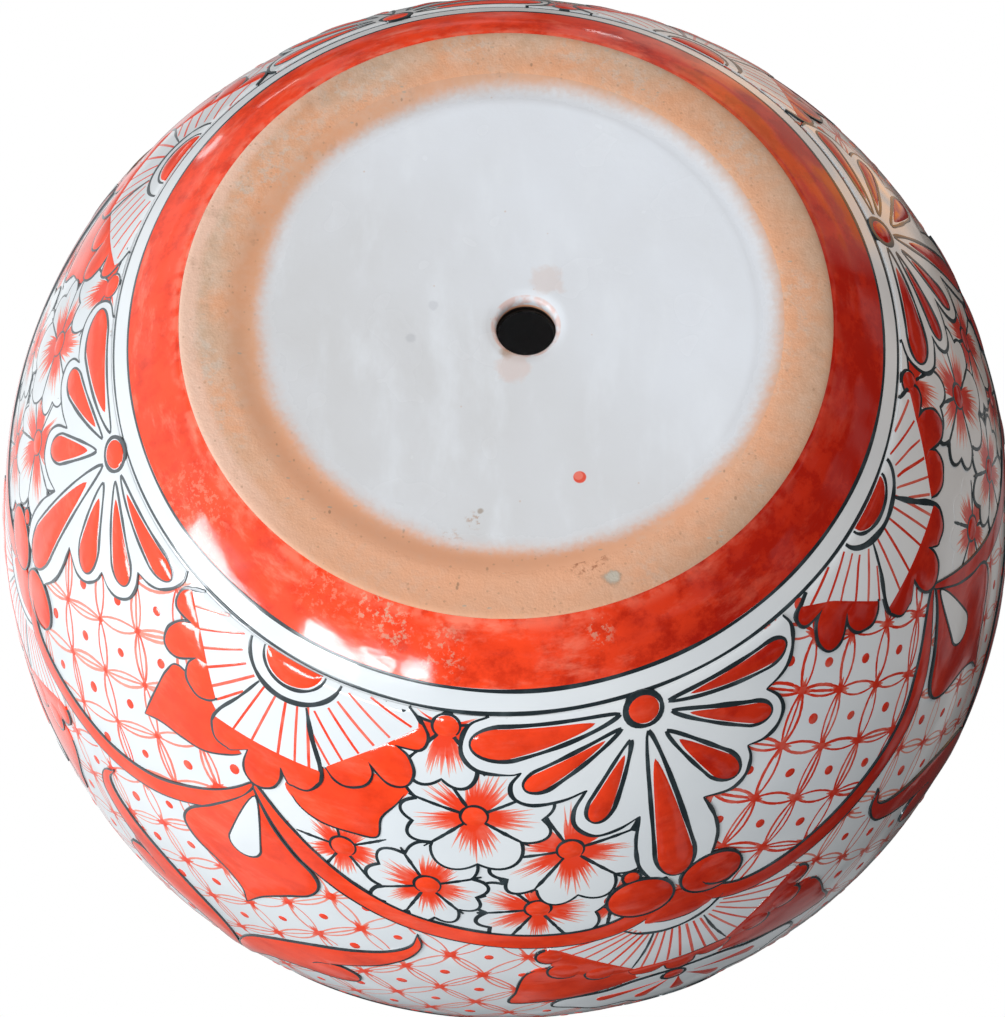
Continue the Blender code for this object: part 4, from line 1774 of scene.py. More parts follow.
@dataclass(frozen=True)
class Lily:
    """Two red arms that rise from a stem under a tulip."""

    inner: Curve = (
        (67.0, 105.1), (65.5, 114.0), (58.3, 121.4), (46.5, 127.9), (30.3, 135.7), (16.0, 145.7),
        (5.8, 156.8), (0.9, 170.1), (0.3, 184.0))
    outer: Curve = (
        (67.0, 105.1), (69.2, 112.7), (65.8, 122.5), (57.7, 132.4), (47.8, 140.2), (37.8, 147.1))
    lobe: Curve = (
        (37.8, 147.1), (43.0, 146.6), (48.7, 151.0), (48.3, 156.7), (41.0, 160.8), (28.5, 162.9),
        (17.2, 167.3), (10.0, 173.4), (3.0, 186.0))
    fold: Curve = ((37.8, 147.1), (33.6, 149.4), (31.0, 153.0))
    edge_line: float = 1.1
    fold_line: float = 1.0

    def draw(self, brush: Brush) -> None:
        """Draw both arms.

        Args:
            brush: brush at the fan's column.
        """
        lift = Layer.MOTIF
        for side in (1, -1):
            turn = np.array((side, 1))
            inner, outer, lobe = (self._drawn_in(smooth(curve, 1.8), side) * turn
                                  for curve in (self.inner, self.outer, self.lobe))
            brush.red(chain(outer, lobe, inner[::-1])[:-1], lift)
            for curve in (inner, outer, lobe):
                brush.line(curve, self.edge_line, lift + Layer.OUTLINE)
            brush.line(np.array(self.fold) * turn, self.fold_line, lift + 0.0002)

    def _drawn_in(self, path: Array, side: int) -> Array:
        """The left arm's tip lies lower and nearer the stem."""
        share = np.clip((128 - path[:, 1:]) / 22, 0, 1) * (side < 0)
        return path + share * (-9.5, 3.0)


@dataclass(frozen=True)
class SmallFan:
    """A second fan below the swags, with red leaves and a half-flower under it."""

    wedge: Curve = (
        (0.3, 91.6), (12.4, 103.0), (6.4, 107.6), (-0.8, 108.6), (-7.0, 107.6), (-12.0, 104.8))
    arc: Curve = (
        (-19.2, 108.2), (-14.3, 112.0), (-6.2, 114.4), (1.9, 113.8), (10.0, 110.2), (16.5, 104.0))
    ground: Curve = (
        (-1.0, 96.0), (-20.0, 104.0), (-44.0, 112.0), (-43.0, 120.0), (-17.5, 140.4), (-14.0, 149.0),
        (14.0, 149.0), (18.2, 140.4), (42.0, 120.0), (43.0, 110.0), (18.0, 102.0))
    scallops: tuple[tuple[Pair, float], ...] = (
        ((45.6, 118.6), 4.8), ((41.0, 130.6), 6.0), ((28.6, 136.4), 5.6))
    edge: Curve = (
        (43.0, 114.0), (46.0, 119.0), (43.0, 130.0), (28.0, 139.4), (18.0, 140.2), (18.4, 137.6))
    leaf: Curve = (
        (47.0, 127.6), (53.4, 131.0), (56.6, 138.0), (58.6, 149.0), (60.0, 161.2), (37.7, 158.0),
        (21.0, 152.8), (13.4, 147.0), (26.0, 134.0))
    petals: Curve = (
        (-2.0, 152.0), (-16.0, 153.0), (-27.0, 157.5), (-42.0, 160.0), (-46.0, 167.0), (-38.0, 172.0),
        (-30.0, 178.0), (-19.0, 177.0), (-13.0, 183.0), (0.0, 186.0), (13.0, 183.0), (19.0, 177.0),
        (30.0, 178.0), (38.0, 172.0), (46.0, 167.0), (42.0, 160.0), (27.0, 157.5), (16.0, 153.0))
    band: Curve = (
        (-17.2, 139.6), (0.0, 140.2), (17.6, 139.6), (17.0, 144.8), (10.0, 146.2), (6.0, 143.6),
        (4.6, 148.0), (0.0, 150.4), (-4.6, 148.0), (-6.0, 143.6), (-10.0, 146.2), (-16.6, 144.8))
    petal_tips: tuple[float, ...] = (-30.0, -15.0, 0.0, 15.0, 30.0)
    eye: Pair = (-2.0, 156.4)
    line: float = 1.1
    arc_line: float = 1.7

    def draw(self, brush: Brush) -> None:
        """Draw the fan.

        Args:
            brush: brush at the daisy's column.
        """
        lift, top = Layer.MOTIF, Layer.MOTIF + Layer.DETAIL
        for side in (1, -1):
            turn = np.array((side, 1))
            brush.red(smooth(self.leaf, 1.8, True) * turn, lift - 0.0003)
            brush.line(smooth(self.leaf[:7], 1.6) * turn, self.line, lift - 0.0002)
        flower = smooth(self.petals, 1.8, True)
        brush.white(flower, lift - 0.00012)
        brush.line(np.vstack((flower, flower[:2])), 1.3, lift - 0.00006)
        for x in self.petal_tips:
            petal = teardrop((x * 0.2, 160.0), (x, 177.0 - 0.012 * x * x), 2.6)
            brush.red(petal, lift - 0.00002, grain=2.5)
        brush.red(ellipse(self.eye, 3.6, 3.6, count=16), lift, crown=0.0003, grain=2.0)
        brush.around(ellipse(self.eye, 4.4, 4.4, count=20), 1.4, lift)
        brush.white(smooth(self.ground, 2.0, True), lift)
        for side in (1, -1):
            self._side(brush, top, side)
        band = smooth(self.band, 1.4, True)
        brush.red(band, top, grain=3.0)
        brush.line(band[len(band) // 6:], self.line, top)
        for k in range(7):
            brush.ray((-7.6 + 2.55 * k, 115.0 - 0.04 * (k - 3) ** 2), (-14.2 + 4.75 * k, 139.6), top)
        brush.red(smooth(self.wedge, 1.4, True), top, grain=3.0)
        brush.line(smooth(self.wedge[1:], 1.4), self.line, top)
        brush.line(self.arc, self.arc_line, top, (0.6, 0.6))

    def _side(self, brush: Brush, top: float, side: int) -> None:
        """Rays and red scallops of one side.

        Args:
            brush: brush at the daisy's column.
            top: height of what they lie on.
            side: 1 on the right and -1 on the left.
        """
        turn = np.array((side, 1))
        brush.red(smooth(self.edge, 1.6, True) * turn, top, grain=3.0)
        for (x, y), radius in self.scallops:
            disc = ellipse((x, y), radius, radius, -75, 125, 18)
            whole = ellipse((x, y), radius, radius, count=18) * turn
            brush.red(whole, top + 0.00003, crown=0.0003, grain=2.5)
            brush.line(disc * turn, 1.2, top + 0.0001)
        for k in range(6):
            near = np.array((17.8 - 1.4 * k, 106.6 + 1.45 * k))
            far = np.array((42.0 - 4.1 * k, 114.8 + 3.9 * k))
            brush.ray(near * turn, far * turn, top)
        brush.line(np.array(((9.0, 113.4), (12.4, 125.0), (17.6, 138.8))) * turn, 1.2, top)


@dataclass(frozen=True)
class Flower:
    """A five-petalled flower with feathered red strokes.

    The dividers are the angles, in degrees from straight across towards the hem's far side, of
    the dark lines between its petals.
    """

    share: float
    height: float
    radius: float
    lift: float
    dividers: tuple[float, ...]
    outlined: bool = True
    body: float = 0.00003
    line: float = 1.5
    eye: Pair = (3.9, 4.5)
    spread: Pair = (0.42, 0.34)

    def draw(self, brush: Brush) -> None:
        """Draw the flower.

        Args:
            brush: brush at the flower's middle.
        """
        low = 0.4 - self.height
        brush.rise = 0.00005
        spans = [(first, (last - first) % 360) for first, last in
                 zip(self.dividers, self.dividers[1:] + self.dividers[:1])]
        outline = np.vstack([self._petal(brush, first, width) for first, width in spans])
        outline[:, 1] = np.maximum(outline[:, 1], low)
        brush.white(outline, self.lift, self.body)
        top = self.lift + self.body
        free = outline[:, 1] > low
        if self.outlined and free.all():
            brush.around(outline, self.line, top - 0.00001)
        elif self.outlined:
            start = int(np.argmax(free & ~np.roll(free, 1)))
            open_edge = np.roll(outline, -start, axis=0)[:int(free.sum())]
            brush.line(open_edge, self.line, top - 0.00001)
        for first, width in spans:
            self._feather(brush, top, first, width, low)
            turn = math.radians(first)
            reaches = (4.6, self.radius * 0.5, self.radius * 0.9)
            path = [(d * math.cos(turn), d * math.sin(turn)) for d in reaches]
            if min(y for _, y in path) > low:
                brush.line(path, self.line, top, (1.0, 0.4))
        disc, ring = self.eye
        brush.red(ellipse((0, 0), disc, disc, count=18), top, Layer.DETAIL, 0.0004, 1.8)
        brush.line(ellipse((0, 0), ring, ring, 120, 400, 22), 1.3, top + Layer.WASH)

    def _petal(self, brush: Brush, first: float, width: float) -> Array:
        """Outer edge of one petal: two lobes with a notch between them.

        Args:
            brush: brush at the flower's middle.
            first: angle in degrees at which the petal starts.
            width: angle that it takes up.

        Returns:
            Points of the edge.
        """
        turn = np.linspace(0, 1, 30, endpoint=False)
        u = np.abs(2 * turn - 1)
        lobes = min(1.0, width / 70)
        size = 0.97 - 0.13 * lobes + (0.04 + 0.14 * lobes) * np.sin(math.pi * u) - 0.09 * u**3
        size = size * self.radius * float(brush.rng.uniform(0.95, 1.05))
        angle = np.radians(first + width * turn)
        return np.column_stack((size * np.cos(angle), size * np.sin(angle)))

    def _feather(self, brush: Brush, top: float, first: float, width: float, low: float) -> None:
        """Fine red strokes from the middle out along one petal.

        Args:
            brush: brush at the flower's middle.
            top: height of what they lie on.
            first: angle in degrees at which the petal starts.
            width: angle that it takes up.
            low: height of the hem, which they don't cross.
        """
        count = max(8, round(width / 3.9))
        axis = first + width / 2
        for u in np.linspace(-1, 1, count):
            near, far = (math.radians(axis + width * spread * (u + float(brush.rng.uniform(-0.08, 0.08))))
                         for spread in self.spread)
            reach = self.radius * (0.78 - 0.22 * u * u + float(brush.rng.uniform(-0.18, 0.10)))
            points = [(d * math.cos(turn), d * math.sin(turn))
                      for d, turn in ((3.2, near), ((3.2 + reach) / 2, (near + far) / 2), (reach, far))]
            if min(y for _, y in points) > low:
                breadth = float(brush.rng.uniform(1.1, 1.6))
                brush.wash(points, breadth, top, np.array((1.15, 0.85, 0.0)), (1.0, 0.05), 1.0)


@dataclass(frozen=True)
class Swag:
    """A red garland from a fan to a daisy, as shares of the way and distances from the hem."""

    points: Curve
    width: float = 8.6
    length: float = 120.0

    @cached_property
    def curve(self) -> Array:
        """Centre line as shares and millimetres."""
        scale = (self.length, 1)
        return smooth(np.array(self.points) * scale, 2.0) / scale

    def depth(self, share: Array) -> Array:
        """Distance from the hem at given shares of the way."""
        return np.interp(share, self.curve[:, 0], self.curve[:, 1])


@dataclass(frozen=True)
class Net:
    """Where a net over a garland has its crossings, and that garland."""

    origin: Pair
    first: Pair
    second: Pair
    swag: Swag
    ink: Pair = (0.9, 1.3)
    dot: float = 2.0
    star: float = 1.0
    faint: float = 1.0


FLOWER_SWAG = Swag((
    (0.0, 54.6), (0.035, 59.4), (0.076, 65.2), (0.117, 70.4), (0.157, 75.4), (0.197, 79.7),
    (0.237, 83.6), (0.278, 87.4), (0.358, 93.6), (0.439, 98.2), (0.559, 102.7), (0.66, 105.0),
    (0.74, 105.5), (0.801, 104.9), (0.86, 102.8), (0.91, 98.6), (0.945, 93.0)), 8.0)
STEEP_SWAG = Swag((
    (0.0, 54.6), (0.028, 61.0), (0.059, 66.4), (0.099, 72.2), (0.146, 77.8), (0.193, 82.3),
    (0.24, 86.6), (0.287, 90.2), (0.358, 94.3), (0.428, 97.4), (0.499, 99.6), (0.569, 101.0),
    (0.64, 102.2), (0.74, 103.5), (0.828, 103.4), (0.89, 100.4), (0.945, 93.0)), 7.2)
EASY_SWAG = Swag((
    (0.0, 54.6), (0.033, 57.0), (0.08, 62.4), (0.133, 69.6), (0.177, 75.2), (0.222, 80.4),
    (0.266, 84.4), (0.31, 87.4), (0.355, 90.0), (0.443, 94.2), (0.55, 98.6), (0.66, 102.0),
    (0.77, 103.6), (0.85, 102.4), (0.91, 98.0), (0.945, 93.0)), 7.6)
NETS = (
    Net((-22.4, 31.0), (4.4, 13.8), (-5.5, 14.0), STEEP_SWAG),
    Net((-22.0, 36.4), (4.2, 15.0), (-5.8, 13.2), STEEP_SWAG, (0.75, 1.05), 1.9, 0.5, 0.6),
    Net((-23.5, 30.4), (4.8, 12.0), (-5.1, 15.1), EASY_SWAG, (1.15, 1.5), 1.9),
    Net((-21.0, 30.0), (4.5, 13.4), (-5.4, 14.2), EASY_SWAG),
)


@dataclass(frozen=True)
class Volute:
    """A round end of a swag beside a daisy's stem."""

    centre: Pair = (-12.4, 87.7)
    size: Pair = (11.6, 10.2)
    curl: Curve = ()

    def draw(self, brush: Brush) -> None:
        """Draw the volute.

        Args:
            brush: brush at the daisy's column.
        """
        disc = ellipse(self.centre, *self.size, count=40)
        brush.red(disc, Layer.VOLUTE, crown=0.0004)
        brush.around(disc, 1.4, Layer.VOLUTE + 0.0001)
        if self.curl:
            curl = np.asarray(self.centre) + np.array(self.curl) * self.size
            brush.line(curl, 1.2, Layer.VOLUTE + 0.0004)


@dataclass(frozen=True)
class Lattice:
    """A net of leaf-shaped strokes with stars at its crossings and dots between.

    Places are in degrees across and millimetres from the hem.
    """

    origin: Pair
    first: Pair
    second: Pair
    bulge: float = 2.3
    stroke: float = 1.2
    dot: float = 2.1
    ink: Pair = (0.9, 1.3)
    star: float = 1.0
    faint: float = 1.0
    third: float = 0.55
    arms: tuple[float, ...] = (42.0, 60.0, 120.0, 138.0)
    arm_width: float = 1.9
    blot: float = 1.8

    def draw(self, brush: Brush, inside: OverSurface, reach: int) -> None:
        """Draw the net over a zone.

        Args:
            brush: brush at angle 0.
            inside: whether points lie in the zone.
            reach: number of steps taken each way from the origin.
        """
        steps = np.arange(-reach, reach + 1)
        first, second = np.asarray(self.first), np.asarray(self.second)
        i, j = (grid.ravel()[:, None] for grid in np.meshgrid(steps, steps))
        nodes = np.asarray(self.origin) + i * first + j * second
        middles = nodes + (first + second) / 2
        for middle in middles[inside(*middles.T)]:
            self._dot(brush, middle, self.dot, 0.00035)
        nodes = nodes + brush.rng.normal(0, (0.1, 0.3), nodes.shape)
        for node in nodes[inside(*nodes.T)]:
            self._star(brush, node)
        for step, strength in ((first, 1.0), (second, self.faint)):
            near = inside(*nodes.T) | inside(*(nodes + step).T) | inside(*(nodes + step / 2).T)
            for node in nodes[near]:
                self._leaf(brush, node, step, strength, inside)

    def _place(self, brush: Brush, points: Array) -> Array:
        """Angles and distances along the outline of points."""
        return np.column_stack((np.radians(points[:, 0]), brush.chart.along(points[:, 1])))

    def _degree(self, brush: Brush, node: Array) -> float:
        """Millimetres in a degree round the pot at a crossing."""
        return math.radians(1) * float(brush.chart.surface.radius(brush.chart.along(node[1]))) / MM

    def _leaf(self, brush: Brush, node: Array, step: Array, strength: float,
              inside: OverSurface) -> None:
        """Two or three strokes from a crossing to the next.

        Args:
            brush: brush at angle 0.
            node: the crossing.
            step: way to the next crossing.
            strength: share of the colour.
            inside: whether points lie in the zone.
        """
        t = np.linspace(0, 1, 10)
        degree = self._degree(brush, node)
        along = step * (degree, 1)
        normal = np.array((-along[1], along[0])) / np.linalg.norm(along) / (degree, 1)
        load = strength * brush.rng.uniform(*self.ink)
        for bend in (1, -1, 0) if brush.rng.uniform() < self.third else (1, -1):
            bow = self.bulge * bend * brush.rng.uniform(0.8, 1.15) * np.sin(math.pi * t) ** 0.8
            path = node + t[:, None] * step + bow[:, None] * normal
            kept = path[inside(path[:, 0], path[:, 1])]
            if len(kept) > 3:
                fade = 0.7 + 0.3 * np.abs(2 * np.linspace(0, 1, len(kept)) - 1)
                ink = load * brush.rng.uniform(0.8, 1) * fade
                width = self.stroke * MM * brush.rng.uniform(0.7, 1.15)
                brush.family.wash.stroke(self._place(brush, kept), width, Layer.WASH, Layer.LATTICE,
                                         (0.8, 0.8), ink, Section.FINE)

    def _star(self, brush: Brush, node: Array) -> None:
        """Short strokes and a blot at a crossing.

        Args:
            brush: brush at angle 0.
            node: the crossing.
        """
        degree = self._degree(brush, node)
        for aim in np.radians(self.arms):
            reach = self.star * brush.rng.uniform(3.2, 5.2)
            arm = np.array((math.cos(aim) / degree, math.sin(aim))) * reach
            path = node + np.array((-1, -0.3, 0.3, 1))[:, None] * arm
            brush.family.wash.stroke(self._place(brush, path), self.arm_width * MM, Layer.DETAIL,
                                     Layer.LATTICE + 0.00002, (0.15, 0.15), np.array((0.5, 1, 1, 0.5)),
                                     Section.FINE)
        self._dot(brush, node, self.blot * self.star, Layer.DETAIL)

    def _dot(self, brush: Brush, node: Array, size: float, crown: float) -> None:
        """A dot in the middle of a mesh of the net or a blot at a crossing.

        Args:
            brush: brush at angle 0.
            node: its place.
            size: its radius in millimetres.
            crown: how much higher its middle swells.
        """
        radius = size * brush.rng.uniform(0.85, 1.1)
        place = self._place(brush, node[None])[0]
        disc = ellipse((0, 0), radius, radius * brush.rng.uniform(0.85, 1.15), count=12) * MM
        outline = place + disc / (float(brush.chart.surface.radius(place[1])), 1)
        brush.family.wash.plate(outline, 0.00010, Layer.LATTICE, 0.0008, crown, 0.0012,
                                float(brush.rng.uniform(0.85, 1.1)))


@dataclass
class OrnamentBand:
    """A band of ornament that hangs from a dark line round the pot."""

    surface: PotSurface
    label: str
    hem: float
    way: int
    fans: tuple[float, ...]
    daisies: tuple[float, ...]
    depth: float
    full: bool
    plain_fans: tuple[float, ...] = ()
    rises: dict[float, float] = field(default_factory=dict)
    plump_daisies: tuple[float, ...] = ()
    flowers: tuple[Flower, ...] = (
        Flower(0.241, 65.5, 18.5, Layer.BACK_FLOWER, (50, 112, 178, 250, 327), False),
        Flower(0.857, 86.0, 19.0, Layer.BACK_FLOWER, (20, 100, 152, 200, 270)),
        Flower(0.69, 85.1, 23.0, Layer.FLOWER, (62, 120, 173, 232, 330)),
        Flower(0.443, 74.6, 21.0, Layer.FLOWER + Layer.FLOWER_STEP, (48, 112, 160, 239, 340)),
        Flower(0.769, 56.1, 27.0, Layer.FLOWER + Layer.FLOWER_STEP * 2, (47, 125, 174, 245, 349)),
        Flower(0.543, 39.8, 25.0, Layer.FLOWER + Layer.FLOWER_STEP * 3, (35, 136, 196, 238, 333)),
        Flower(0.457, 5.1, 25.0, Layer.FLOWER + Layer.FLOWER_STEP * 4, (52, 128, 190, 270, 350)))
    bud: Pair = (0.903, 75.6)
    volutes: tuple[Volute, ...] = (
        Volute(),
        Volute((13.0, 86.2), (11.2, 9.6),
               ((0.86, 0.5), (0.42, 0.8), (-0.1, 0.62), (-0.36, 0.2), (-0.3, -0.2))))
    spans: Pair = (49.7, 45.1)
    plump: float = 1.28
    plump_rise: float = 1.5
    fan_reach: Pair = (0.95, 1.0)
    small_fan_rise: float = 2.0
    trellis: Pair = (3.66, 14.2)
    trellis_count: int = 43

    def draw(self, families: dict[str, Family], rng: np.random.Generator) -> None:
        """Draw the whole band.

        Args:
            families: families of motifs by name.
            rng: random numbers.
        """
        for fan in self.fans:
            rise = self.rises.get(fan, 0.0)
            spread = self._brush(families["fans"], fan, rng, self.fan_reach, rise)
            Fan().draw(spread, fan not in self.plain_fans)
            hung = self._brush(families["garlands"], fan, rng, rise=rise)
            Tulip().draw(hung)
            if self.full:
                Lily().draw(hung)
        for daisy in self.daisies:
            before = min((daisy - fan) % 360 for fan in self.fans)
            after = min((fan - daisy) % 360 for fan in self.fans)
            rooms = zip((before, after), self.spans)
            reach = tuple(min(1.0, 1 + 0.03 * (room - span)) for room, span in rooms)
            if daisy in self.plump_daisies:
                plump, rise = self.plump, self.plump_rise
            else:
                plump, rise = HalfDaisy.plump, 0.0
            HalfDaisy(plump=plump).draw(self._brush(families["daisies"], daisy, rng, reach, rise))
            hung = self._brush(families["garlands"], daisy, rng)
            for volute in self.volutes:
                volute.draw(hung)
            if self.full:
                SmallFan().draw(self._brush(families["fans"], daisy, rng, rise=self.small_fan_rise))
        for fan, net in zip(self.fans, NETS):
            after = min((daisy - fan) % 360 for daisy in self.daisies)
            before = min((fan - daisy) % 360 for daisy in self.daisies)
            self._swag(families["garlands"], FLOWER_SWAG, fan, after, rng)
            self._swag(families["garlands"], net.swag, fan, -before, rng)
            self._flowers(families["flowers"], fan, after, rng)
            self._net(families[f"{self.label}_net"], net, fan, -before, rng)
        self._lower_net(families[f"{self.label}_trellis"], rng)

    def _brush(self, family: Family, column: float, rng: np.random.Generator, reach: Pair = (1.0, 1.0),
               rise: float = 0.0) -> Brush:
        """A brush at a column in degrees."""
        chart = Chart(self.surface, math.radians(column), self.hem, self.way, reach, rise)
        return Brush(family, chart, rng)

    def _along(self, depth: Array | float) -> Array | float:
        """Distance along the outline of distances from the hem in millimetres."""
        return self.hem + self.way * depth * MM

    def _swag(self, family: Family, swag: Swag, fan: float, width: float, rng: np.random.Generator) -> None:
        """A garland over one sector, with dark lines along its edges.

        Args:
            family: family that it belongs to.
            swag: its course.
            fan: angle of the fan beside it.
            width: angle from the fan to the daisy, less than 0 to the left.
            rng: random numbers.
        """
        share, depth = swag.curve.T
        depth = depth - self.rises.get(fan, 0.0) * np.clip(1 - share / 0.4, 0, 1) ** 2
        path = np.column_stack((np.radians(fan + width * share), self._along(depth)))
        tip, swell = 0.12, 0.22
        family.red.stroke(path, swag.width * MM, 0.00012, Layer.SWAG, (tip, 0.9), section=Section.RIBBON,
                          wave=weave(len(path), rng, 0.05), swell=swell)
        radius = self.surface.radius(path[:, 1])
        along = family.red.heading(path)
        aside = np.column_stack((-along[:, 1] / radius, along[:, 0]))
        t = np.linspace(0, 1, len(path))
        share = tip + (1 - tip) * np.minimum(t / swell, 1) ** SurfaceMesh.FILLING
        reach = share * swag.width / 2 * MM
        for side in (-1, 1):
            edge = path + side * aside * reach[:, None]
            family.black.stroke(edge, 1.0 * MM, 0.00014, Layer.SWAG, (0.6, 0.5), wave=weave(len(edge), rng))

    def _flowers(self, family: Family, fan: float, width: float, rng: np.random.Generator) -> None:
        """A cluster of flowers in one sector.

        Args:
            family: family that it belongs to.
            fan: angle of the fan beside it.
            width: angle from the fan to the daisy, less than 0 to the left.
            rng: random numbers.
        """
        def brush(share: float, height: float) -> Brush:
            """A brush at a place in the sector."""
            column = math.radians(fan + width * share)
            return Brush(family, Chart(self.surface, column, self._along(height), self.way), rng)

        for flower in self.flowers:
            flower.draw(brush(flower.share, flower.height))
        bud = brush(*self.bud)
        bud.red(ellipse((0, 0), 2.6, 2.8, count=14), Layer.MOTIF, crown=0.0003, grain=1.6)
        bud.around(ellipse((0, 0), 3.2, 3.4, count=16), 1.1, Layer.MOTIF)

    def _net(self, family: Family, net: Net, fan: float, width: float, rng: np.random.Generator) -> None:
        """The net above one garland.

        Args:
            family: family that it belongs to.
            net: its crossings and its garland.
            fan: angle of the fan beside it.
            width: angle from the fan to the daisy, less than 0 to the left.
            rng: random numbers.
        """
        def inside(theta: Array, depth: Array) -> Array:
            """Whether points lie over the garland."""
            share = (theta - fan) / width
            return (share > 0.02) & (share < 1) & (depth > 1) & (depth < net.swag.depth(share))

        lattice = Lattice((fan + net.origin[0], net.origin[1]), net.first, net.second, dot=net.dot,
                          ink=net.ink, star=net.star, faint=net.faint)
        lattice.draw(self._brush(family, 0, rng), inside, 9)

    def _lower_net(self, family: Family, rng: np.random.Generator) -> None:
        """The net below the garlands, with a net of its own between the arms of each lily.

        Args:
            family: family that it belongs to.
            rng: random numbers.
        """
        marks = [(fan % 360, 0.0) for fan in self.fans] + [(daisy % 360, 1.0) for daisy in self.daisies]
        angles, shares = np.array(sorted(marks)).T
        arm = np.array(Lily().inner)

        def below(theta: Array, depth: Array) -> Array:
            """Whether points lie under the garlands, on one turn of the pot."""
            share = np.interp(theta % 360, angles, shares, period=360)
            return (depth > EASY_SWAG.depth(share)) & (depth < self.depth) & (theta >= -182) & (theta < 178)

        def held(fan: float, theta: Array, depth: Array) -> Array:
            """Whether points lie between the arms of a fan's lily."""
            away = np.radians((theta - fan + 180) % 360 - 180) * self.surface.radius(self._along(depth))
            return np.abs(away) < np.interp(depth, arm[:, 1], arm[:, 0]) * MM

        def outside(theta: Array, depth: Array) -> Array:
            """Whether points lie under the garlands and outside every lily."""
            return below(theta, depth) & ~np.any([held(fan, theta, depth) for fan in lilies], axis=0)

        lilies = self.fans if self.full else ()
        across, down = self.trellis
        steps = (across, down), (across - 360 / self.trellis_count, down)
        brush = self._brush(family, 0, rng)
        Lattice((-6.0, 116.8), *steps, 2.4, 0.9, 1.9, (0.5, 0.85)).draw(brush, outside, 48)
        for fan in lilies:
            inner = Lattice((fan + 6.55, 110.0), *steps, 2.4, 0.9, 1.9, (0.4, 0.7))
            inner.draw(brush, lambda theta, depth: below(theta, depth) & held(fan, theta, depth), 9)


@dataclass
class Ornament:
    """All the painting: a band that rises from the foot and one that hangs from the lip."""

    surface: PotSurface
    palette: Palette
    lower_hem: float = 0.0335
    upper_gap: float = 0.0045
    meeting: float = 0.2245
    side_rise: float = 3.6
    fans: tuple[float, ...] = (-122.5, -30.8, 63.7, 149.4)
    daisies: tuple[float, ...] = (-73.0, 18.9, 108.9, 196.7)

    def build(self) -> None:
        """Draw the bands and make the pieces."""
        rng = np.random.default_rng(SEED)
        names = ("daisies", "fans", "flowers", "garlands", "lower_net", "lower_trellis", "upper_net",
                 "upper_trellis")
        families = {name: Family(self.surface, name) for name in names}
        upper_hem = self.surface.marks["crease"] - self.upper_gap
        side_fan = self.fans[2]
        lower = OrnamentBand(self.surface, "lower", self.lower_hem, 1, self.fans, self.daisies,
                             (self.meeting - self.lower_hem) / MM, True, (side_fan,),
                             {side_fan: self.side_rise}, self.daisies[:1])
        upper = OrnamentBand(self.surface, "upper", upper_hem, -1, self.daisies, self.fans,
                             (upper_hem - self.meeting) / MM, False)
        for band in (lower, upper):
            band.draw(families, rng)
        for family in families.values():
            family.fit(self.palette)


# Studio


@dataclass(frozen=True)
class PhotoCamera:
    """Camera where the photograph was taken from, below the pot."""

    photo_width: int = 1005
    photo_height: int = 1017
    tilt: float = math.radians(22.88)
    distance: float = 1.14
    focal_pixels: float = 2958.0
    belly_pixel: Pair = (506.0, 522.5)
    belly_height: float = 0.178
    sensor_width: float = 36.0

    def build(self) -> None:
        """Make the camera and make it the scene's own."""
        data = bpy.data.cameras.new("photo_camera")
        data.sensor_fit = "HORIZONTAL"
        data.sensor_width = self.sensor_width
        data.lens = self.focal_pixels * self.sensor_width / self.photo_width
        data.shift_x = (self.photo_width / 2 - self.belly_pixel[0]) / self.photo_width
        data.shift_y = (self.belly_pixel[1] - self.photo_height / 2) / self.photo_width
        data.clip_start = 0.01
        ahead = Vector((0, math.sin(self.tilt), math.cos(self.tilt)))
        right = Vector((-1, 0, 0))
        above = right.cross(ahead)
        turn = Matrix((right, above, -ahead)).transposed()
        camera = bpy.data.objects.new("photo_camera", data)
        camera.matrix_world = Matrix.Translation(
            Vector((0, 0, self.belly_height)) - self.distance * ahead) @ turn.to_4x4()
        bpy.context.scene.collection.objects.link(camera)
        bpy.context.scene.camera = camera


@dataclass(frozen=True)
class Lamp:
    """One soft rectangular lamp, aimed at the pot."""

    name: str
    bearing: float
    elevation: float
    distance: float
    wide: float
    tall: float
    radiance: float
    mirrored: bool = True
    colour: Colour = (1.0, 1.0, 1.0)

    def build(self, target: Vector) -> None:
        """Make the lamp.

        Args:
            target: point that it faces.
        """
        data = bpy.data.lights.new(self.name, "AREA")
        data.shape = "RECTANGLE"
        data.color = self.colour
        data.size, data.size_y = self.wide, self.tall
        data.energy = self.radiance * math.pi * self.wide * self.tall
        bearing, elevation = math.radians(self.bearing), math.radians(self.elevation)
        away = Vector((math.sin(bearing) * math.cos(elevation), -math.cos(bearing) * math.cos(elevation),
                       math.sin(elevation)))
        lamp = bpy.data.objects.new(self.name, data)
        lamp.visible_glossy = self.mirrored
        lamp.location = target + away * self.distance
        lamp.rotation_euler = away.to_track_quat("Z", "Y").to_euler()
        bpy.context.scene.collection.objects.link(lamp)


DAYLIGHT = (0.90, 0.96, 1.0)


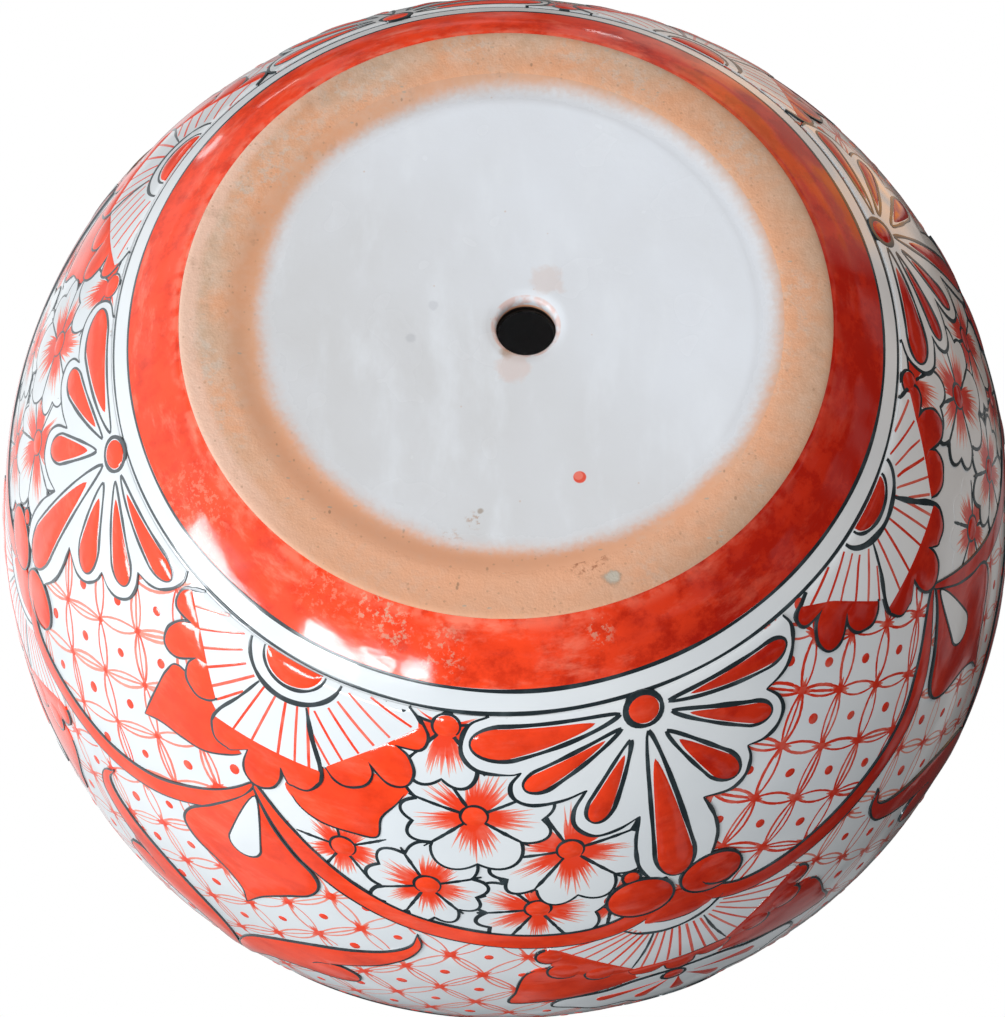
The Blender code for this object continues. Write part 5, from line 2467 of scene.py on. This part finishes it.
@dataclass
class Studio:
    """Pale floor, soft lamps and a white surround."""

    target: Vector = field(default_factory=lambda: Vector((0, 0, 0.1)))
    floor_size: float = 8.0
    floor_height: float = -0.0012
    floor_colour: Colour = (0.80, 0.80, 0.80)
    ground_light: float = 0.48
    sky_light: float = 0.03
    sheen: Pair = (0.04, 0.95)
    gleam: float = 0.30
    rim: float = 1.1
    far_glow: float = 1.3
    warm: Colour = (1.0, 0.48, 0.18)
    cool: Colour = (0.95, 0.98, 1.0)
    white: Colour = (1.0, 1.0, 1.0)
    cloud_scale: float = 4.5
    lamps: tuple[Lamp, ...] = (
        Lamp("window_left", 65.5, -9.0, 1.7, 0.62, 0.30, 20.0, colour=DAYLIGHT),
        Lamp("window_middle", 38.5, -17.5, 1.7, 0.38, 0.15, 30.0, colour=DAYLIGHT),
        Lamp("window_right", 27.7, -20.2, 1.7, 0.21, 0.10, 30.0, colour=DAYLIGHT),
        Lamp("window_far_right", 19.5, -21.0, 1.7, 0.15, 0.10, 30.0, colour=DAYLIGHT),
        Lamp("window_back", 190.0, 14.0, 1.7, 0.10, 0.03, 9.0),
        Lamp("window_side", 145.0, 15.5, 1.7, 0.11, 0.07, 3.4),
        Lamp("window_corner", 155.0, 15.2, 1.7, 0.16, 0.05, 2.6),
        Lamp("low_fill", 46, -62, 1.8, 2.0, 2.0, 1.42, False, (0.97, 0.985, 1.0)),
        Lamp("back_softbox", 158, 2, 2.0, 1.2, 0.6, 5.4, False),
        Lamp("side_softbox", 232, -8, 2.2, 1.4, 1.0, 1.9, False, (1.0, 0.57, 0.27)),
    )

    def build(self) -> None:
        """Make the studio."""
        self._floor()
        self._world()
        for lamp in self.lamps:
            lamp.build(self.target)
        bpy.context.scene.view_settings.view_transform = "Standard"

    def _floor(self) -> None:
        """A floor that shows from above and lets the view and the light through from below."""
        mesh = bpy.data.meshes.new("floor")
        tool = bmesh.new()
        bmesh.ops.create_grid(tool, x_segments=1, y_segments=1, size=self.floor_size / 2)
        tool.to_mesh(mesh)
        tool.free()
        floor = bpy.data.objects.new("floor", mesh)
        floor.location.z = self.floor_height
        graph = Graph("pale floor")
        graph.dress(Base_Color=self.floor_colour, Roughness=0.9)
        behind = graph.node("ShaderNodeNewGeometry", None, None, "Backfacing")
        clear = graph.node("ShaderNodeBsdfTransparent")
        shown = Field(graph, graph.shader.outputs[0])
        mixed = graph.node("ShaderNodeMixShader", None, {0: behind, 1: shown, 2: clear})
        graph.tree.links.new(mixed.socket, graph.tree.nodes["Material Output"].inputs["Surface"])
        mesh.materials.append(graph.material)
        bpy.context.scene.collection.objects.link(floor)
        floor.visible_shadow = False
        floor.visible_diffuse = False
        floor.visible_glossy = False
        floor.visible_transmission = False

    def _world(self) -> None:
        """White to the camera, a soft light from below, and a sheen that is bright on one side."""
        world = bpy.data.worlds.new("studio surround")
        world.use_nodes = True
        graph = NodeGraph(world.node_tree)

        def spread(value: Field, first: Pair, last: Pair = (0.0, 1.0)) -> Field:
            """A value carried from one range to another."""
            limits = dict(enumerate((*first, *last), 1))
            return graph.node("ShaderNodeMapRange", None, {0: value, **limits})

        def choose(share: Field, first: Field, second: Field | float) -> Field:
            """A number between two."""
            return graph.node("ShaderNodeMix", None, {0: share, 2: first, 3: second})

        toward = graph.node("ShaderNodeTexCoord", output="Generated")
        x, y, z = (graph.node("ShaderNodeSeparateXYZ", None, {0: toward}, axis) for axis in range(3))
        cloud = graph.node("ShaderNodeTexNoise", None, {"Vector": toward, "Scale": self.cloud_scale}, "Fac")
        camera, glossy, through = (graph.node("ShaderNodeLightPath", output=f"Is {ray} Ray")
                                   for ray in ("Camera", "Glossy", "Transmission"))
        far = spread(y, (0.57, 0.64)) * spread(x, (-0.05, -0.40)) * spread(cloud, (0.40, 0.50), (0.4, 1.0))
        side = spread(x, (0.02, 0.28), (0.0, self.rim)) * spread(y, (-0.1, 0.3), (0.2, 1.0))
        sheen = spread(x, (0.40, 0.95), self.sheen)
        sheen = sheen + spread(cloud, (0.50, 0.62), (0.0, self.gleam))
        sheen = sheen + spread(z, (0.5, 0.9)) * side
        sheen = sheen + spread(far, (0.0, 1.0), (0.0, self.far_glow))
        soft = spread(z, (-0.35, 0.25), (self.ground_light, self.sky_light))
        strength = choose(glossy, soft, sheen)
        for seen in (camera, through):
            strength = choose(seen, strength, 1.0)
        colour = graph.blend(camera, graph.blend(far, self.cool, self.warm), self.white)
        background = graph.tree.nodes["Background"].inputs
        graph.tree.links.new(strength.socket, background["Strength"])
        graph.tree.links.new(colour.socket, background["Color"])
        bpy.context.scene.world = world


def main() -> None:
    """Build the studio and the planter, piece by piece."""
    logging.basicConfig(level=logging.INFO, format="%(message)s")
    surface = PotSurface(PotSizes())
    palette = Palette()
    Studio().build()
    PhotoCamera().build()
    ClayVessel(surface, palette).build()
    WhiteCoats(surface, palette).build()
    Bands(surface, palette).build()
    Ornament(surface, palette).build()


if __name__ == "__main__":
    main()
